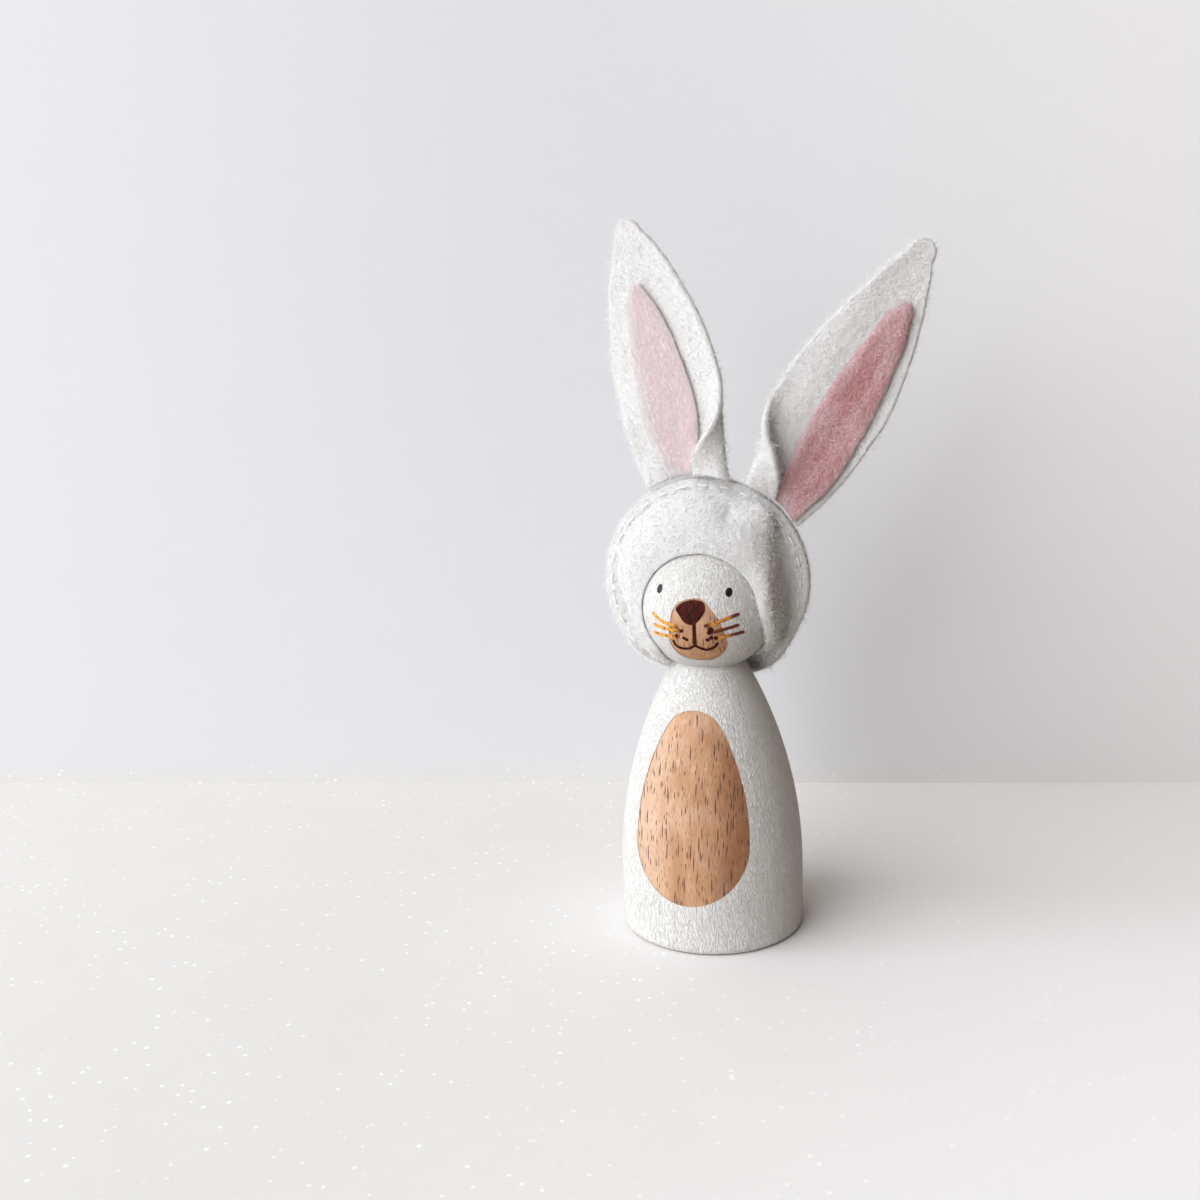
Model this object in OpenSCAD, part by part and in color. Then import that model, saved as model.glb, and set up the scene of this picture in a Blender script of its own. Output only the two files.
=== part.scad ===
/* [Peg] */

// Diameter of the round foot, in millimetres like every length here
foot_d = 36; // [34:1:38]
// Height of the straight foot, below the place where the side starts to curve in
foot_h = 12; // [11:0.5:13]
// Radius of the long curve of the body's side
side_r = 85; // [82:1:90]
// Diameter of the ball head
head_d = 27; // [26:0.5:28]
// Height of the ball head's centre above the table
head_z = 66; // [65.5:0.5:67]
// Radius of the broken edge around the foot
edge_r = 1.1; // [0.5:0.1:2]

/* [Paint and ink] */

// Thickness of the white paint
coat_t = 0.12; // [0.08:0.02:0.2]
// Thickness of a line of ink or a dot of paint
ink_t = 0.06; // [0.04:0.01:0.1]
// Height above the table at which the paint starts
coat_low = 0.3; // [0.2:0.1:1]
// Radius of the round lower end of the bare belly egg
belly_low_r = 11.2; // [9:0.1:12]
// Radius of the small upper end of the bare belly egg
belly_top_r = 6.1; // [5:0.1:7]
// Distance between the centres of the two ends of the belly egg
belly_rise = 19.5; // [16:0.5:20]
// Height of the centre of the belly egg's lower end
belly_z = 21.1; // [18:0.1:23]
// Turn of the belly egg off the middle of the front, in degrees
belly_turn = -3.6; // [-8:0.1:8]
// Half the width of the bare muzzle, as a share of the head's radius
muzzle_w_share = 0.41; // [0.39:0.005:0.43]
// Half the height of the bare muzzle, as a share of the head's radius
muzzle_h_share = 0.476; // [0.466:0.002:0.486]
// Drop of the muzzle's middle below the head's centre, as a share of the head's radius
muzzle_drop_share = 0.238; // [0.23:0.002:0.246]
// Sideways shift of the muzzle, as a share of the head's radius
muzzle_side_share = 0.033; // [0.02:0.001:0.04]
// Width of an eye, as a share of the head's radius
eye_w_share = 0.102; // [0.08:0.002:0.14]
// Height of an eye, as a share of the head's radius
eye_h_share = 0.14; // [0.1:0.001:0.17]
// Distance of each eye from the middle between them, as a share of the head's radius
eye_x_share = 0.488; // [0.4:0.001:0.5]
// Sideways shift of both eyes, as a share of the head's radius
eye_side_share = -0.016; // [-0.02:0.001:0]
// Rise of the eyes above the head's centre, as a share of the head's radius
eye_rise_share = 0.309; // [0.25:0.001:0.35]
// How much higher the left eye sits than the middle of both, as a share of the head's radius
eye_slope_share = 0.01; // [0:0.001:0.02]
// Tilt of the eyes, in degrees
eye_tilt_angle = 14; // [0:1:20]
// Half the width of the nose, as a share of the head's radius
nose_w_share = 0.212; // [0.2:0.002:0.22]
// Half the height of the nose, as a share of the head's radius
nose_h_share = 0.177; // [0.17:0.001:0.18]
// Sideways shift of the nose, as a share of the head's radius
nose_side_share = -0.045; // [-0.05:0.001:-0.03]
// Rise of the nose's middle above the head's centre, as a share of the head's radius
nose_rise_share = 0.032; // [0.026:0.001:0.036]
// Width of a whisker stroke
whisker_w = 0.66; // [0.5:0.02:0.7]
// Width of a mouth stroke
mouth_w = 0.54; // [0.4:0.02:0.6]
// Radius of a whisker dot
dot_r = 0.45; // [0.3:0.05:0.5]

/* [Felt hood] */

// Thickness of the white wool felt
felt_t = 1.2; // [1:0.1:1.4]
// Slack between the felt and the painted peg
slack = 0.3; // [0.25:0.05:0.4]
// Radius of the sewn rim of the hood
rim_r = 20; // [19:0.5:21]
// Sideways shift of the rim's centre
rim_x = -0.6; // [-1:0.1:1]
// Depth of the rim behind the middle of the peg
rim_y = 2.2; // [1.5:0.1:3]
// Rise of the rim's centre above the head's centre
rim_rise = 3.6; // [3:0.1:4.5]
// Width of the flat sewn flange
flange_w = 2.4; // [2:0.1:3]
// Clear space between the two discs at the rim
seam_gap = 0.08; // [0.06:0.01:0.12]
// Distance of the stitch line inside the rim
stitch_in = 1.6; // [1.4:0.1:1.7]
// Clear space between the painted neck and the hood's lower rim behind it
neck_room = 0.44; // [0.4:0.02:0.7]
// Extra radius of the rim low down at the sides of the neck
low_drop = 1.6; // [0:0.1:2]
// Half angle of the face opening at its top, in degrees
open_top_angle = 50; // [46:1:54]
// Half angle of the face opening at its sides, in degrees
open_side_angle = 56; // [52:1:60]
// How far the forehead of the hood puffs out
puff = 7.5; // [6:0.5:8.5]
// Depth of the back disc behind the rim
back_deep = 12.8; // [12.6:0.1:14]
// Length of one stitch
stitch_len = 2; // [1.6:0.1:2.4]
// Thickness of the sewing thread
thread_d = 0.4; // [0.3:0.05:0.5]
// Clear space between a stitch and the felt
thread_gap = 0.17; // [0.15:0.01:0.2]

/* [Ears] */

// Length of the left ear
left_len = 49.6; // [46:0.2:52]
// Length of the right ear
right_len = 54.3; // [50:0.1:56]
// Lean of the left ear away from upright, in degrees
left_lean_angle = -14.4; // [-18:0.2:-12]
// Lean of the right ear away from upright, in degrees
right_lean_angle = 30; // [27:0.5:33]
// Place of the left ear around the rim, in degrees from its top
left_at_angle = -8.8; // [-10:0.2:-7]
// Place of the right ear around the rim, in degrees from its top
right_at_angle = 41.8; // [40:0.2:44]
// Space between the rim's edge and the bend at each ear's root
root_gap = 0.85; // [0.85:0.05:1]
// Widest reach of an ear from its middle line to its outer margin
ear_out = 11.4; // [10:0.1:12]
// Widest reach of an ear from its middle line to its inner margin
ear_in = 12.4; // [11:0.1:13]
// Radius of the rounded tip
tip_r = 2; // [1.6:0.1:2.2]
// Thickness of the pink felt
pink_t = 1; // [0.8:0.1:1.1]
// Half the width of the pink lining
pink_half = 5.1; // [4:0.1:5.2]
// Clear space that glue leaves under the pink lining
glue_gap = 0.12; // [0.1:0.01:0.14]

/* [Hidden] */

head_r = head_d / 2;
foot_r = foot_d / 2;
rim_z = head_z + rim_rise;
half_t = felt_t / 2;
wrap_r = head_r + coat_t + slack + half_t;
// Radius inside the foot's side at which the side curve has its centre
side_c = foot_r - side_r;
function body_r(z) = side_c + sqrt(side_r * side_r - pow(max(z, foot_h) - foot_h, 2));
// Shares of the head's radius: across, then up from the head's centre
left_whisker_shares = [
    [[-0.603, -0.037], [-0.468, -0.13], [-0.252, -0.179]],
    [[-0.588, -0.201], [-0.379, -0.232], [-0.182, -0.24]],
    [[-0.606, -0.328], [-0.457, -0.338], [-0.245, -0.338]]];
right_whisker_shares = [
    [[0.168, -0.152], [0.256, -0.132], [0.362, -0.09], [0.49, -0.046], [0.588, -0.012]],
    [[0.209, -0.256], [0.303, -0.237], [0.421, -0.207], [0.579, -0.169]],
    [[0.295, -0.344], [0.374, -0.333], [0.516, -0.301], [0.639, -0.282]]];
// Each dot: across, up, and its size as a share of the dot radius
dot_shares = [[-0.174, -0.239, 0.75], [-0.257, -0.324, 0.85], [-0.15, -0.348, 0.75],
    [-0.112, -0.37, 0.75], [0.232, -0.215, 1.25], [0.209, -0.256, 0.9],
    [0.18, -0.364, 0.85], [0.23, -0.333, 0.85], [0.296, -0.336, 0.9]];
mouth_shares = [[-0.315, -0.411], [-0.3, -0.467], [-0.245, -0.509], [-0.172, -0.523],
    [-0.082, -0.509], [-0.006, -0.455], [0.075, -0.502], [0.141, -0.527],
    [0.21, -0.511], [0.269, -0.471], [0.307, -0.424]];
philtrum_shares = [[0.012, -0.1], [-0.003, -0.455]];
// Outlines of muzzle and nose, as shares of their half width and half height
muzzle_shares = [[-0.11, 0.98], [0.12, 1], [0.33, 0.89], [0.49, 0.7], [0.65, 0.52], [0.77, 0.35],
    [0.86, 0.14], [0.94, -0.09], [0.98, -0.26], [1, -0.4], [0.94, -0.6], [0.78, -0.78],
    [0.56, -0.92], [0.35, -0.99], [0.15, -1], [-0.09, -0.99], [-0.3, -0.97], [-0.5, -0.93],
    [-0.7, -0.83], [-0.84, -0.7], [-0.94, -0.53], [-1, -0.35], [-0.98, -0.08], [-0.93, 0.18],
    [-0.88, 0.4], [-0.82, 0.58], [-0.71, 0.75], [-0.56, 0.86], [-0.35, 0.94]];
nose_shares = [[-1, 0.22], [-0.83, 0.51], [-0.51, 0.77], [-0.11, 0.95], [0.28, 1], [0.67, 0.95],
    [0.9, 0.82], [1, 0.55], [1, 0.12], [0.84, -0.23], [0.6, -0.59], [0.37, -0.88],
    [0.13, -1], [-0.13, -0.97], [-0.37, -0.84], [-0.59, -0.49], [-0.79, -0.15]];

function smooth(x) = let(c = min(1, max(0, x))) c * c * (3 - 2 * c);
function unit(v) = v / norm(v);

// Turned shape of the peg, as half of its outline, grown outwards by g
module peg_outline(g) {
    intersection() {
        translate([side_c, foot_h])
            circle(r = side_r + g, $fn = 180);
        translate([0, foot_h])
            square([foot_d, head_z - head_r / 2 - foot_h]);
    }
    translate([0, edge_r])
        square([foot_r + g, foot_h - edge_r]);
    translate([0, -g])
        square([foot_r - edge_r, edge_r + g]);
    translate([foot_r - edge_r, edge_r])
        circle(r = edge_r + g, $fn = 60);
    intersection() {
        translate([0, head_z])
            circle(r = head_r + g, $fn = 180);
        translate([0, head_z - head_d])
            square([head_d, head_d * 2]);
    }
}

// Egg standing on its round end: low radius a, top radius b, rise h
module egg(a, b, h) {
    big = (a * a + h * h - b * b) / (2 * (a - b));
    circle(r = a, $fn = 120);
    translate([0, h])
        circle(r = b, $fn = 90);
    intersection() {
        translate([a - big, 0])
            circle(r = big, $fn = 180);
        translate([big - a, 0])
            circle(r = big, $fn = 180);
        translate([-a, 0])
            square([a * 2, h * big / (big - b)]);
    }
}

module belly_patch() {
    rotate([90, 0, belly_turn])
        linear_extrude(height = foot_d)
            translate([0, belly_z])
                egg(belly_low_r, belly_top_r, belly_rise);
}

// A ring of points with its corners cut off
function soften(p) = let(n = len(p)) [for (i = [0 : n - 1]) let(q = p[(i + 1) % n])
    each [p[i] * 3 / 4 + q / 4, p[i] / 4 + q * 3 / 4]];
// A traced patch of the face, its half width w and half height h shares of the head's radius
module patch(shares, x, z, w, h) {
    translate([head_r * x, head_z + head_r * z])
        polygon([for (p = soften(shares)) head_r * [p[0] * w, p[1] * h]]);
}

module muzzle_outline() {
    patch(muzzle_shares, muzzle_side_share, -muzzle_drop_share, muzzle_w_share, muzzle_h_share);
}

// A flat shape of the front view, run forwards through the face
module forwards() {
    rotate([90, 0, 0])
        linear_extrude(height = head_d)
            children();
}

// Skin of the ball head between two heights above the wood
module head_skin(low, high) {
    translate([0, 0, head_z])
        difference() {
            sphere(r = head_r + high, $fn = 120);
            sphere(r = head_r + low, $fn = 120);
        }
}

module stroke(p, q, w) {
    d = q - p;
    translate(p)
        rotate(atan2(d[1], d[0]))
            translate([0, -w / 2])
                square([norm(d), w]);
    translate(p)
        circle(d = w, $fn = 12);
    translate(q)
        circle(d = w, $fn = 12);
}

module strokes(shares, w) {
    translate([0, head_z])
        for (i = [1 : len(shares) - 1])
            stroke(head_r * shares[i - 1], head_r * shares[i], w);
}

module nose_outline() {
    patch(nose_shares, nose_side_share, nose_rise_share, nose_w_share, nose_h_share);
}

module dots_outline() {
    translate([0, head_z])
        for (p = dot_shares)
            translate(head_r * [p[0], p[1]])
                circle(r = dot_r * p[2], $fn = 12);
}

module oval(w, h) {
    polygon([for (a = [0 : 15 : 345]) [w * cos(a) / 2, h * sin(a) / 2]]);
}

module eye_at(side) {
    intersection() {
        head_skin(coat_t, coat_t + ink_t);
        forwards()
            translate([head_r * (side * eye_x_share + eye_side_share),
                head_z + head_r * (eye_rise_share - side * eye_slope_share)])
                rotate(-eye_tilt_angle)
                    oval(head_r * eye_w_share, head_r * eye_h_share);
    }
}

module whiskers(sets) {
    intersection() {
        head_skin(coat_t, coat_t + ink_t);
        forwards()
            difference() {
                for (s = sets) strokes(s, whisker_w);
                muzzle_outline();
            }
    }
    intersection() {
        head_skin(0, coat_t + ink_t);
        forwards()
            intersection() {
                difference() {
                    for (s = sets) strokes(s, whisker_w);
                    dots_outline();
                }
                muzzle_outline();
            }
    }
}

// Felt sheets: f and k are the front and back faces, each a list of rows of points.
// A ring sheet closes on itself across its rows.
function sheet_points(f, k) = concat([for (r = f) each r], [for (r = k) each r]);
// A disc sheet is a ring sheet whose first row closes on a middle point
function middle(r) = [for (q = [0 : 2]) [for (p = r) 1] * [for (p = r) p[q]] / len(r)];
function disc_faces(n, m) = let(o = n * m, c = 2 * n * m) concat(
    [for (f = sheet_faces(n, m, true)) if (!(max(f) < o + m && min(f) < m
        && len([for (v = f) if (v < m || (v >= o && v < o + m)) v]) == 3)) f],
    [for (j = [0 : m - 1]) let(k = (j + 1) % m)
        each [[c, j, k], [c + 1, o + k, o + j]]]);
function tri(a, b, c, d, flip) = flip ? [[a, c, b], [a, d, c]] : [[a, b, c], [a, c, d]];
function sheet_faces(n, m, ring) =
    let(w = ring ? m : m - 1, o = n * m)
    concat(
        [for (i = [0 : n - 2]) for (j = [0 : w - 1]) let(k = (j + 1) % m)
            each tri(i * m + j, (i + 1) * m + j, (i + 1) * m + k, i * m + k, false)],
        [for (i = [0 : n - 2]) for (j = [0 : w - 1]) let(k = (j + 1) % m)
            each tri(o + i * m + j, o + (i + 1) * m + j, o + (i + 1) * m + k, o + i * m + k, true)],
        [for (j = [0 : w - 1]) let(k = (j + 1) % m)
            each tri(j, k, o + k, o + j, false)],
        [for (j = [0 : w - 1]) let(k = (j + 1) % m, b = (n - 1) * m)
            each tri(b + k, b + j, o + b + j, o + b + k, false)],
        ring ? [] : [for (i = [0 : n - 2])
            each tri((i + 1) * m, i * m, o + i * m, o + (i + 1) * m, false)],
        ring ? [] : [for (i = [0 : n - 2])
            each tri(i * m + m - 1, (i + 1) * m + m - 1,
                o + (i + 1) * m + m - 1, o + i * m + m - 1, false)]);

// Felt can't pass into the head or the body: a point too close is moved out
function off_ball(p, room) =
    let(c = [0, 0, head_z], d = p - c, l = norm(d), w = wrap_r + room)
    l < w ? c + d * w / l : p;
function side_at(z) = z > head_z - head_r / 2 ? 0
    : body_r(z) + coat_t + slack + half_t * 1.15;
function off_body(p, room) =
    let(r = norm([p[0], p[1]]), s = side_at(p[2]) > 0 ? side_at(p[2]) + room : 0)
    r < s ? [p[0] * s / r, p[1] * s / r, p[2]] : p;
function off_peg(p, room = 0) = off_body(off_ball(p, room), room);

// The rim, at angle a from its top and radius r from its centre
function low_share(a) = smooth((abs(a) - 118) / 40);
// The lower rim bends back to pass behind the neck, clear of its paint
neck_back = body_r(rim_z - rim_r - low_drop) + coat_t + felt_t + seam_gap / 2 + neck_room;
function rim_back(a) = rim_y + (neck_back - rim_y) * smooth((abs(a) - 128) / 42);
function rim_at(a, r) = [rim_x + (r + low_drop * low_share(a)) * sin(a), rim_back(a),
    rim_z + (r + low_drop * low_share(a)) * cos(a)];

// Direction across the seam, from the front disc to the back disc
function rim_normal(a) = unit(cross([sin(a), 0, cos(a)], rim_at(a + 1, rim_r) - rim_at(a - 1, rim_r)));
seam_t = (felt_t + seam_gap) / 2;

// The face opening, on the ball
function open_at(a) = open_top_angle + (open_side_angle + 1 - open_top_angle) * pow(sin(abs(a) / 2), 2)
    + 66 * smooth((abs(a) - (a > 0 ? 85 : 132)) / (a > 0 ? 95 : 48));
function top_share(a) = smooth(((a < 0 ? 118 : 96) - abs(a)) / 62);
function right_share(a) = smooth((a - 45) / 40) * smooth((150 - a) / 40);

flange_share = 0.84;
stitch_u = 1 - (1 - flange_share) * stitch_in / flange_w;
// The stitch line keeps further off the peg, by the height of its thread
function thread_room(u) = (thread_gap + thread_d)
    * max(0, 1 - abs(u - stitch_u) * 2 / (1 - flange_share));
function front_mid(u, a) =
    let(
        o = open_at(a),
        t = top_share(a),
        g = right_share(a),
        w = min(1, u / flange_share),
        lift = 10 + 22 * t + 30 * g,
        along = [cos(o) * sin(a), sin(o), cos(o) * cos(a)],
        out = [sin(o) * sin(a), -cos(o), sin(o) * cos(a)],
        inner = rim_at(a, rim_r - flange_w),
        dip = 75 - 68 * t,
        e = [0, 0, head_z] + wrap_r * out,
        p1 = e + puff * (0.42 + 0.58 * t - 0.08 * g) * (cos(lift) * along + sin(lift) * out),
        p2 = inner - puff * (0.45 + 0.2 * t)
            * (cos(dip) * [0, 1, 0] + sin(dip) * [sin(a), 0, cos(a)]),
        v = 1 - w,
        q = v * v * v * e + 3 * v * v * w * p1 + 3 * v * w * w * p2 + w * w * w * inner,
        f = max(0, (u - flange_share) / (1 - flange_share)),
        s = u < flange_share ? q : rim_at(a, rim_r - flange_w * (1 - f))
    )
    off_peg(s - seam_t * smooth((u - 0.55) / 0.29) * rim_normal(a), thread_room(u));

function back_mid(u, a) =
    let(
        w = min(1, u / flange_share),
        f = max(0, (u - flange_share) / (1 - flange_share)),
        h = pow(w, 2.4),
        deep = sqrt(back_deep * back_deep * (1 - h) + pow(rim_back(a) - rim_y, 2) * h),
        c = rim_at(a, (rim_r - flange_w) * w + flange_w * f)
    )
    off_peg([c[0], rim_y + deep, c[2] - rim_rise / 2 * (1 - w)]
        + seam_t * (h * rim_normal(a) + (1 - h) * [0, 1, 0]));

// Unit normal of a surface, from its neighbours in a grid of points (ring across)
function ring_normal(g, i, j) =
    let(
        n = len(g), m = len(g[0]),
        du = g[min(n - 1, i + 1)][j] - g[max(0, i - 1)][j],
        dv = g[i][(j + 1) % m] - g[i][(j + m - 1) % m]
    )
    unit(cross(du, dv));
function shift_grid(g, h) = [for (i = [0 : len(g) - 1]) [for (j = [0 : len(g[0]) - 1])
    g[i][j] + h * ring_normal(g, i, j)]];

ring_n = 48;
front_rows = [0, 0.07, 0.17, 0.28, 0.4, 0.52, 0.64, 0.75, 0.84, 0.92, 1];
back_rows = [0.05, 0.16, 0.3, 0.45, 0.58, 0.68, 0.76, 0.84, 0.92, 1];
function ring_angle(j) = -180 + 360 * j / ring_n;

// One stitch lying on a felt face: a short bar with tapered ends
stitch_ring = 6;
function stitch_points(p, along, up) =
    let(side = cross(up, along), r = thread_d / 2)
    concat(
        [p - along * stitch_len / 2 + up * r * 0.9],
        [for (s = [-1, 1]) for (k = [0 : stitch_ring - 1]) let(b = 360 * (k + 0.5) / stitch_ring)
            p + along * s * stitch_len * 0.36 + side * r * sin(b) + up * r * (0.87 - cos(b))],
        [p + along * stitch_len / 2 + up * r * 0.9]);
stitch_faces = concat(
    [for (k = [0 : stitch_ring - 1]) [0, 1 + k, 1 + (k + 1) % stitch_ring]],
    [for (k = [0 : stitch_ring - 1]) let(l = (k + 1) % stitch_ring)
        each [[1 + k, 1 + stitch_ring + k, 1 + stitch_ring + l], [1 + k, 1 + stitch_ring + l, 1 + l]]],
    [for (k = [0 : stitch_ring - 1])
        [1 + 2 * stitch_ring, 1 + stitch_ring + (k + 1) % stitch_ring, 1 + stitch_ring + k]]);
stitch_n = 28;
function stitch_frame(a, back) =
    let(
        p = back ? back_mid(stitch_u, a) : front_mid(stitch_u, a),
        pa = back ? back_mid(stitch_u, a + 1) : front_mid(stitch_u, a + 1),
        pu = back ? back_mid(stitch_u + 0.02, a) : front_mid(stitch_u + 0.02, a),
        t = unit(pa - p),
        n = unit(cross(pu - p, t)) * (back ? 1 : -1)
    )
    [p + n * (half_t + thread_gap), t, n];

// Ears: section across the ear, s along the felt from the middle line (negative outwards).
// c = [length, lean, bend, root angle, yaw, twist, out, out root share, in, fold start, lining shift,
//      cup of the outer margin, cup of the inner margin, root point, side]
left_ear_c = [left_len, left_lean_angle, -2, left_at_angle, 13, 0, ear_out, 0.74, ear_in, 0.57,
    -pink_half * 0.2, 1.6, 1.4, -1, 0.75];
right_ear_c = [right_len, right_lean_angle, -4, right_at_angle, 10, -2, ear_out * 0.85, 0.62, ear_in * 0.9, 0.46,
    -pink_half * 0.42, 2.2, 1.4, 1, 0.79];
fold_end_share = 0.34;
function leaf(t, peak, root) =
    t > peak ? pow(max(0, 1 - pow((t - peak) / (1 - peak), 1.35)), 0.7)
    : 1 + (root - 1) * pow((peak - t) / peak, 2);
function tip_w(c, t) = let(d = min(tip_r, c[0] * (1 - t)))
    max(tip_r / 5, sqrt(tip_r * tip_r - pow(tip_r - d, 2)));
function out_w(c, t) = max(tip_w(c, t), c[6] * leaf(t, 0.42, c[7]));
function in_w(c, t) = max(tip_w(c, t), c[8] * leaf(t, 0.4, 1.3));
function fold_turn(t) = 140 * (1 - smooth(t / fold_end_share)) + 34 * (1 - t);
function fold_at(c, t) = ear_in * (c[9] + 0.13 * smooth(t / fold_end_share));
fold_arc = felt_t * 3.2;
function turn_at(c, t, s) = s < 0 ? c[11] * s * 10 / ear_out
    : c[12] * s * 10 / ear_out + fold_turn(t) * smooth((s - fold_at(c, t)) / fold_arc);
// Running sum of the section from the middle line to s, in n steps
function section(c, t, s, n, k = 0, x = 0, y = 0) =
    k == n ? [x, y]
    : let(a = turn_at(c, t, s * (k + 0.5) / n))
        section(c, t, s, n, k + 1, x + cos(a) * s / n, y + sin(a) * s / n);
function spine(c, t, n, k = 0, p = [0, 0, 0]) =
    k == n ? p
    : let(
        q = t * (k + 0.5) / n,
        a = c[1] + c[2] * (q - 0.5),
        b = 3 + 2 * q
    )
    spine(c, t, n, k + 1, p + c[0] * t / n * [sin(a) * cos(b), sin(b), cos(a) * cos(b)]);
// A point of the ear: t along it, s across, h in front of the felt's middle
function ear_at(c, t, s, h) =
    let(
        a = c[1] + c[2] * (t - 0.5),
        b = 3 + 2 * t,
        yaw = c[4] + c[5] * t,
        in0 = -c[13] * [cos(a), 0, -sin(a)],
        fw0 = [sin(a) * sin(b), -cos(b), cos(a) * sin(b)],
        q = section(c, t, s, 24),
        seat = 1 - (1 - smooth(t / 0.15)) * smooth(-2 * s / ear_out),
        in1 = in0 * cos(yaw) + fw0 * sin(yaw) * seat,
        fw1 = fw0 * cos(yaw) - in0 * sin(yaw) * seat,
        f = turn_at(c, t, s),
        l = rim_r + root_gap,
        out = l * [sin(c[3]), 0, cos(c[3])],
        up = [sin(a), 0, cos(a)],
        v = out + in0 * q[0],
        vu = v * up,
        sag = sqrt(max(0, vu * vu - v * v + l * l)) - vu
    )
    [rim_x, rim_y, rim_z] + out + spine(c, t, 12) + up * sag * (1 - smooth(t / 0.3))
        + in1 * (q[0] - h * sin(f)) + fw1 * (q[1] + h * cos(f));

ear_ts = [0, 0.04, 0.08, 0.12, 0.16, 0.2, 0.24, 0.28, 0.33, 0.39, 0.46, 0.54, 0.62, 0.7,
    0.78, 0.85, 0.91, 0.955, 0.985, 1];
ear_out_shares = [-1, -0.75, -0.5, -0.25, 0];
ear_in_n = 12;
function ear_rows(c, h) = [for (t = ear_ts) concat(
    [for (q = ear_out_shares) ear_at(c, t, q * out_w(c, t), h)],
    [for (j = [1 : ear_in_n]) ear_at(c, t, j / ear_in_n * in_w(c, t), h)])];
pink_ts = [0, 0.05, 0.1, 0.15, 0.2, 0.3, 0.4, 0.5, 0.6, 0.7, 0.8, 0.88, 0.94, 0.98, 1];
pink_ss = [-1, -0.66, -0.33, 0, 0.33, 0.66, 1];
function pink_w(t) = pink_half * (t > 0.35 ? max(0.18, pow(1 - pow((t - 0.35) / 0.65, 1.8), 0.5))
    : 1 - 0.5 * pow((0.35 - t) / 0.35, 2));
function pink_rows(c, h) = [for (t = pink_ts) [for (q = pink_ss)
    ear_at(c, c[14] * t, c[10] + q * pink_w(t), h)]];

module sheet(f, k, ring) {
    polyhedron(points = sheet_points(f, k), faces = sheet_faces(len(f), len(f[0]), ring), convexity = 8);
}

module disc(f, k) {
    polyhedron(points = concat(sheet_points(f, k), [middle(f[0]), middle(k[0])]),
        faces = disc_faces(len(f), len(f[0])), convexity = 8);
}

module peg() {
    color("burlywood")
        rotate_extrude($fn = 180)
            peg_outline(0);
}

module paint_coat() {
    color("white")
        difference() {
            rotate_extrude($fn = 180)
                difference() {
                    intersection() {
                        peg_outline(coat_t);
                        translate([0, coat_low])
                            square([foot_d, head_z + head_d]);
                    }
                    peg_outline(0);
                }
            belly_patch();
            forwards()
                muzzle_outline();
        }
}

module left_eye() {
    color("black")
        eye_at(-1);
}

module right_eye() {
    color("black")
        eye_at(1);
}

module nose() {
    color("saddlebrown")
        intersection() {
            head_skin(0, ink_t);
            forwards()
                intersection() {
                    nose_outline();
                    muzzle_outline();
                }
        }
}

module mouth() {
    color("saddlebrown")
        intersection() {
            head_skin(0, ink_t);
            forwards()
                intersection() {
                    difference() {
                        union() {
                            strokes(mouth_shares, mouth_w);
                            strokes(philtrum_shares, mouth_w * 1.25);
                        }
                        nose_outline();
                    }
                    muzzle_outline();
                }
        }
}

module left_whiskers() {
    color("darkorange")
        whiskers(left_whisker_shares);
}

module right_whiskers() {
    color("sienna")
        whiskers(right_whisker_shares);
}

module whisker_dots() {
    color("maroon")
        intersection() {
            head_skin(0, ink_t);
            forwards()
                intersection() {
                    dots_outline();
                    muzzle_outline();
                }
        }
}

module hood_front() {
    g = [for (u = front_rows) [for (j = [0 : ring_n - 1]) front_mid(u, ring_angle(j))]];
    color("whitesmoke")
        sheet(shift_grid(g, half_t), shift_grid(g, -half_t), true);
}

module hood_back() {
    g = [for (u = back_rows) [for (j = [0 : ring_n - 1]) back_mid(u, ring_angle(j))]];
    color("whitesmoke")
        disc(shift_grid(g, half_t), shift_grid(g, -half_t));
}

module hood_thread() {
    color("ivory")
        for (i = [0 : stitch_n - 1]) {
            fa = stitch_frame(-180 + 360 * i / stitch_n, false);
            polyhedron(points = stitch_points(fa[0], fa[1], fa[2]), faces = stitch_faces);
            fb = stitch_frame(-180 + 360 * (i + 0.5) / stitch_n, true);
            polyhedron(points = stitch_points(fb[0], fb[1], fb[2]), faces = stitch_faces);
        }
}

module left_ear() {
    color("white")
        sheet(ear_rows(left_ear_c, half_t), ear_rows(left_ear_c, -half_t), false);
}

module left_ear_lining() {
    color("pink")
        sheet(pink_rows(left_ear_c, half_t + glue_gap + pink_t),
            pink_rows(left_ear_c, half_t + glue_gap), false);
}

module right_ear() {
    color("white")
        sheet(ear_rows(right_ear_c, half_t), ear_rows(right_ear_c, -half_t), false);
}

module right_ear_lining() {
    color("pink")
        sheet(pink_rows(right_ear_c, half_t + glue_gap + pink_t),
            pink_rows(right_ear_c, half_t + glue_gap), false);
}

peg();
paint_coat();
left_eye();
right_eye();
nose();
mouth();
left_whiskers();
right_whiskers();
whisker_dots();
hood_front();
hood_back();
hood_thread();
left_ear();
left_ear_lining();
right_ear();
right_ear_lining();
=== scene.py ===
"""Peg doll: a turned wooden rabbit with a felt hood and two long felt ears.

The doll's sizes are in millimetres, in the frame of the solids, and become metres when
a mesh is made. The table, the wall and the lamps are in metres.
"""

import math
from collections import namedtuple

import bpy
import numpy as np
from mathutils import Matrix, Vector, noise


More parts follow.
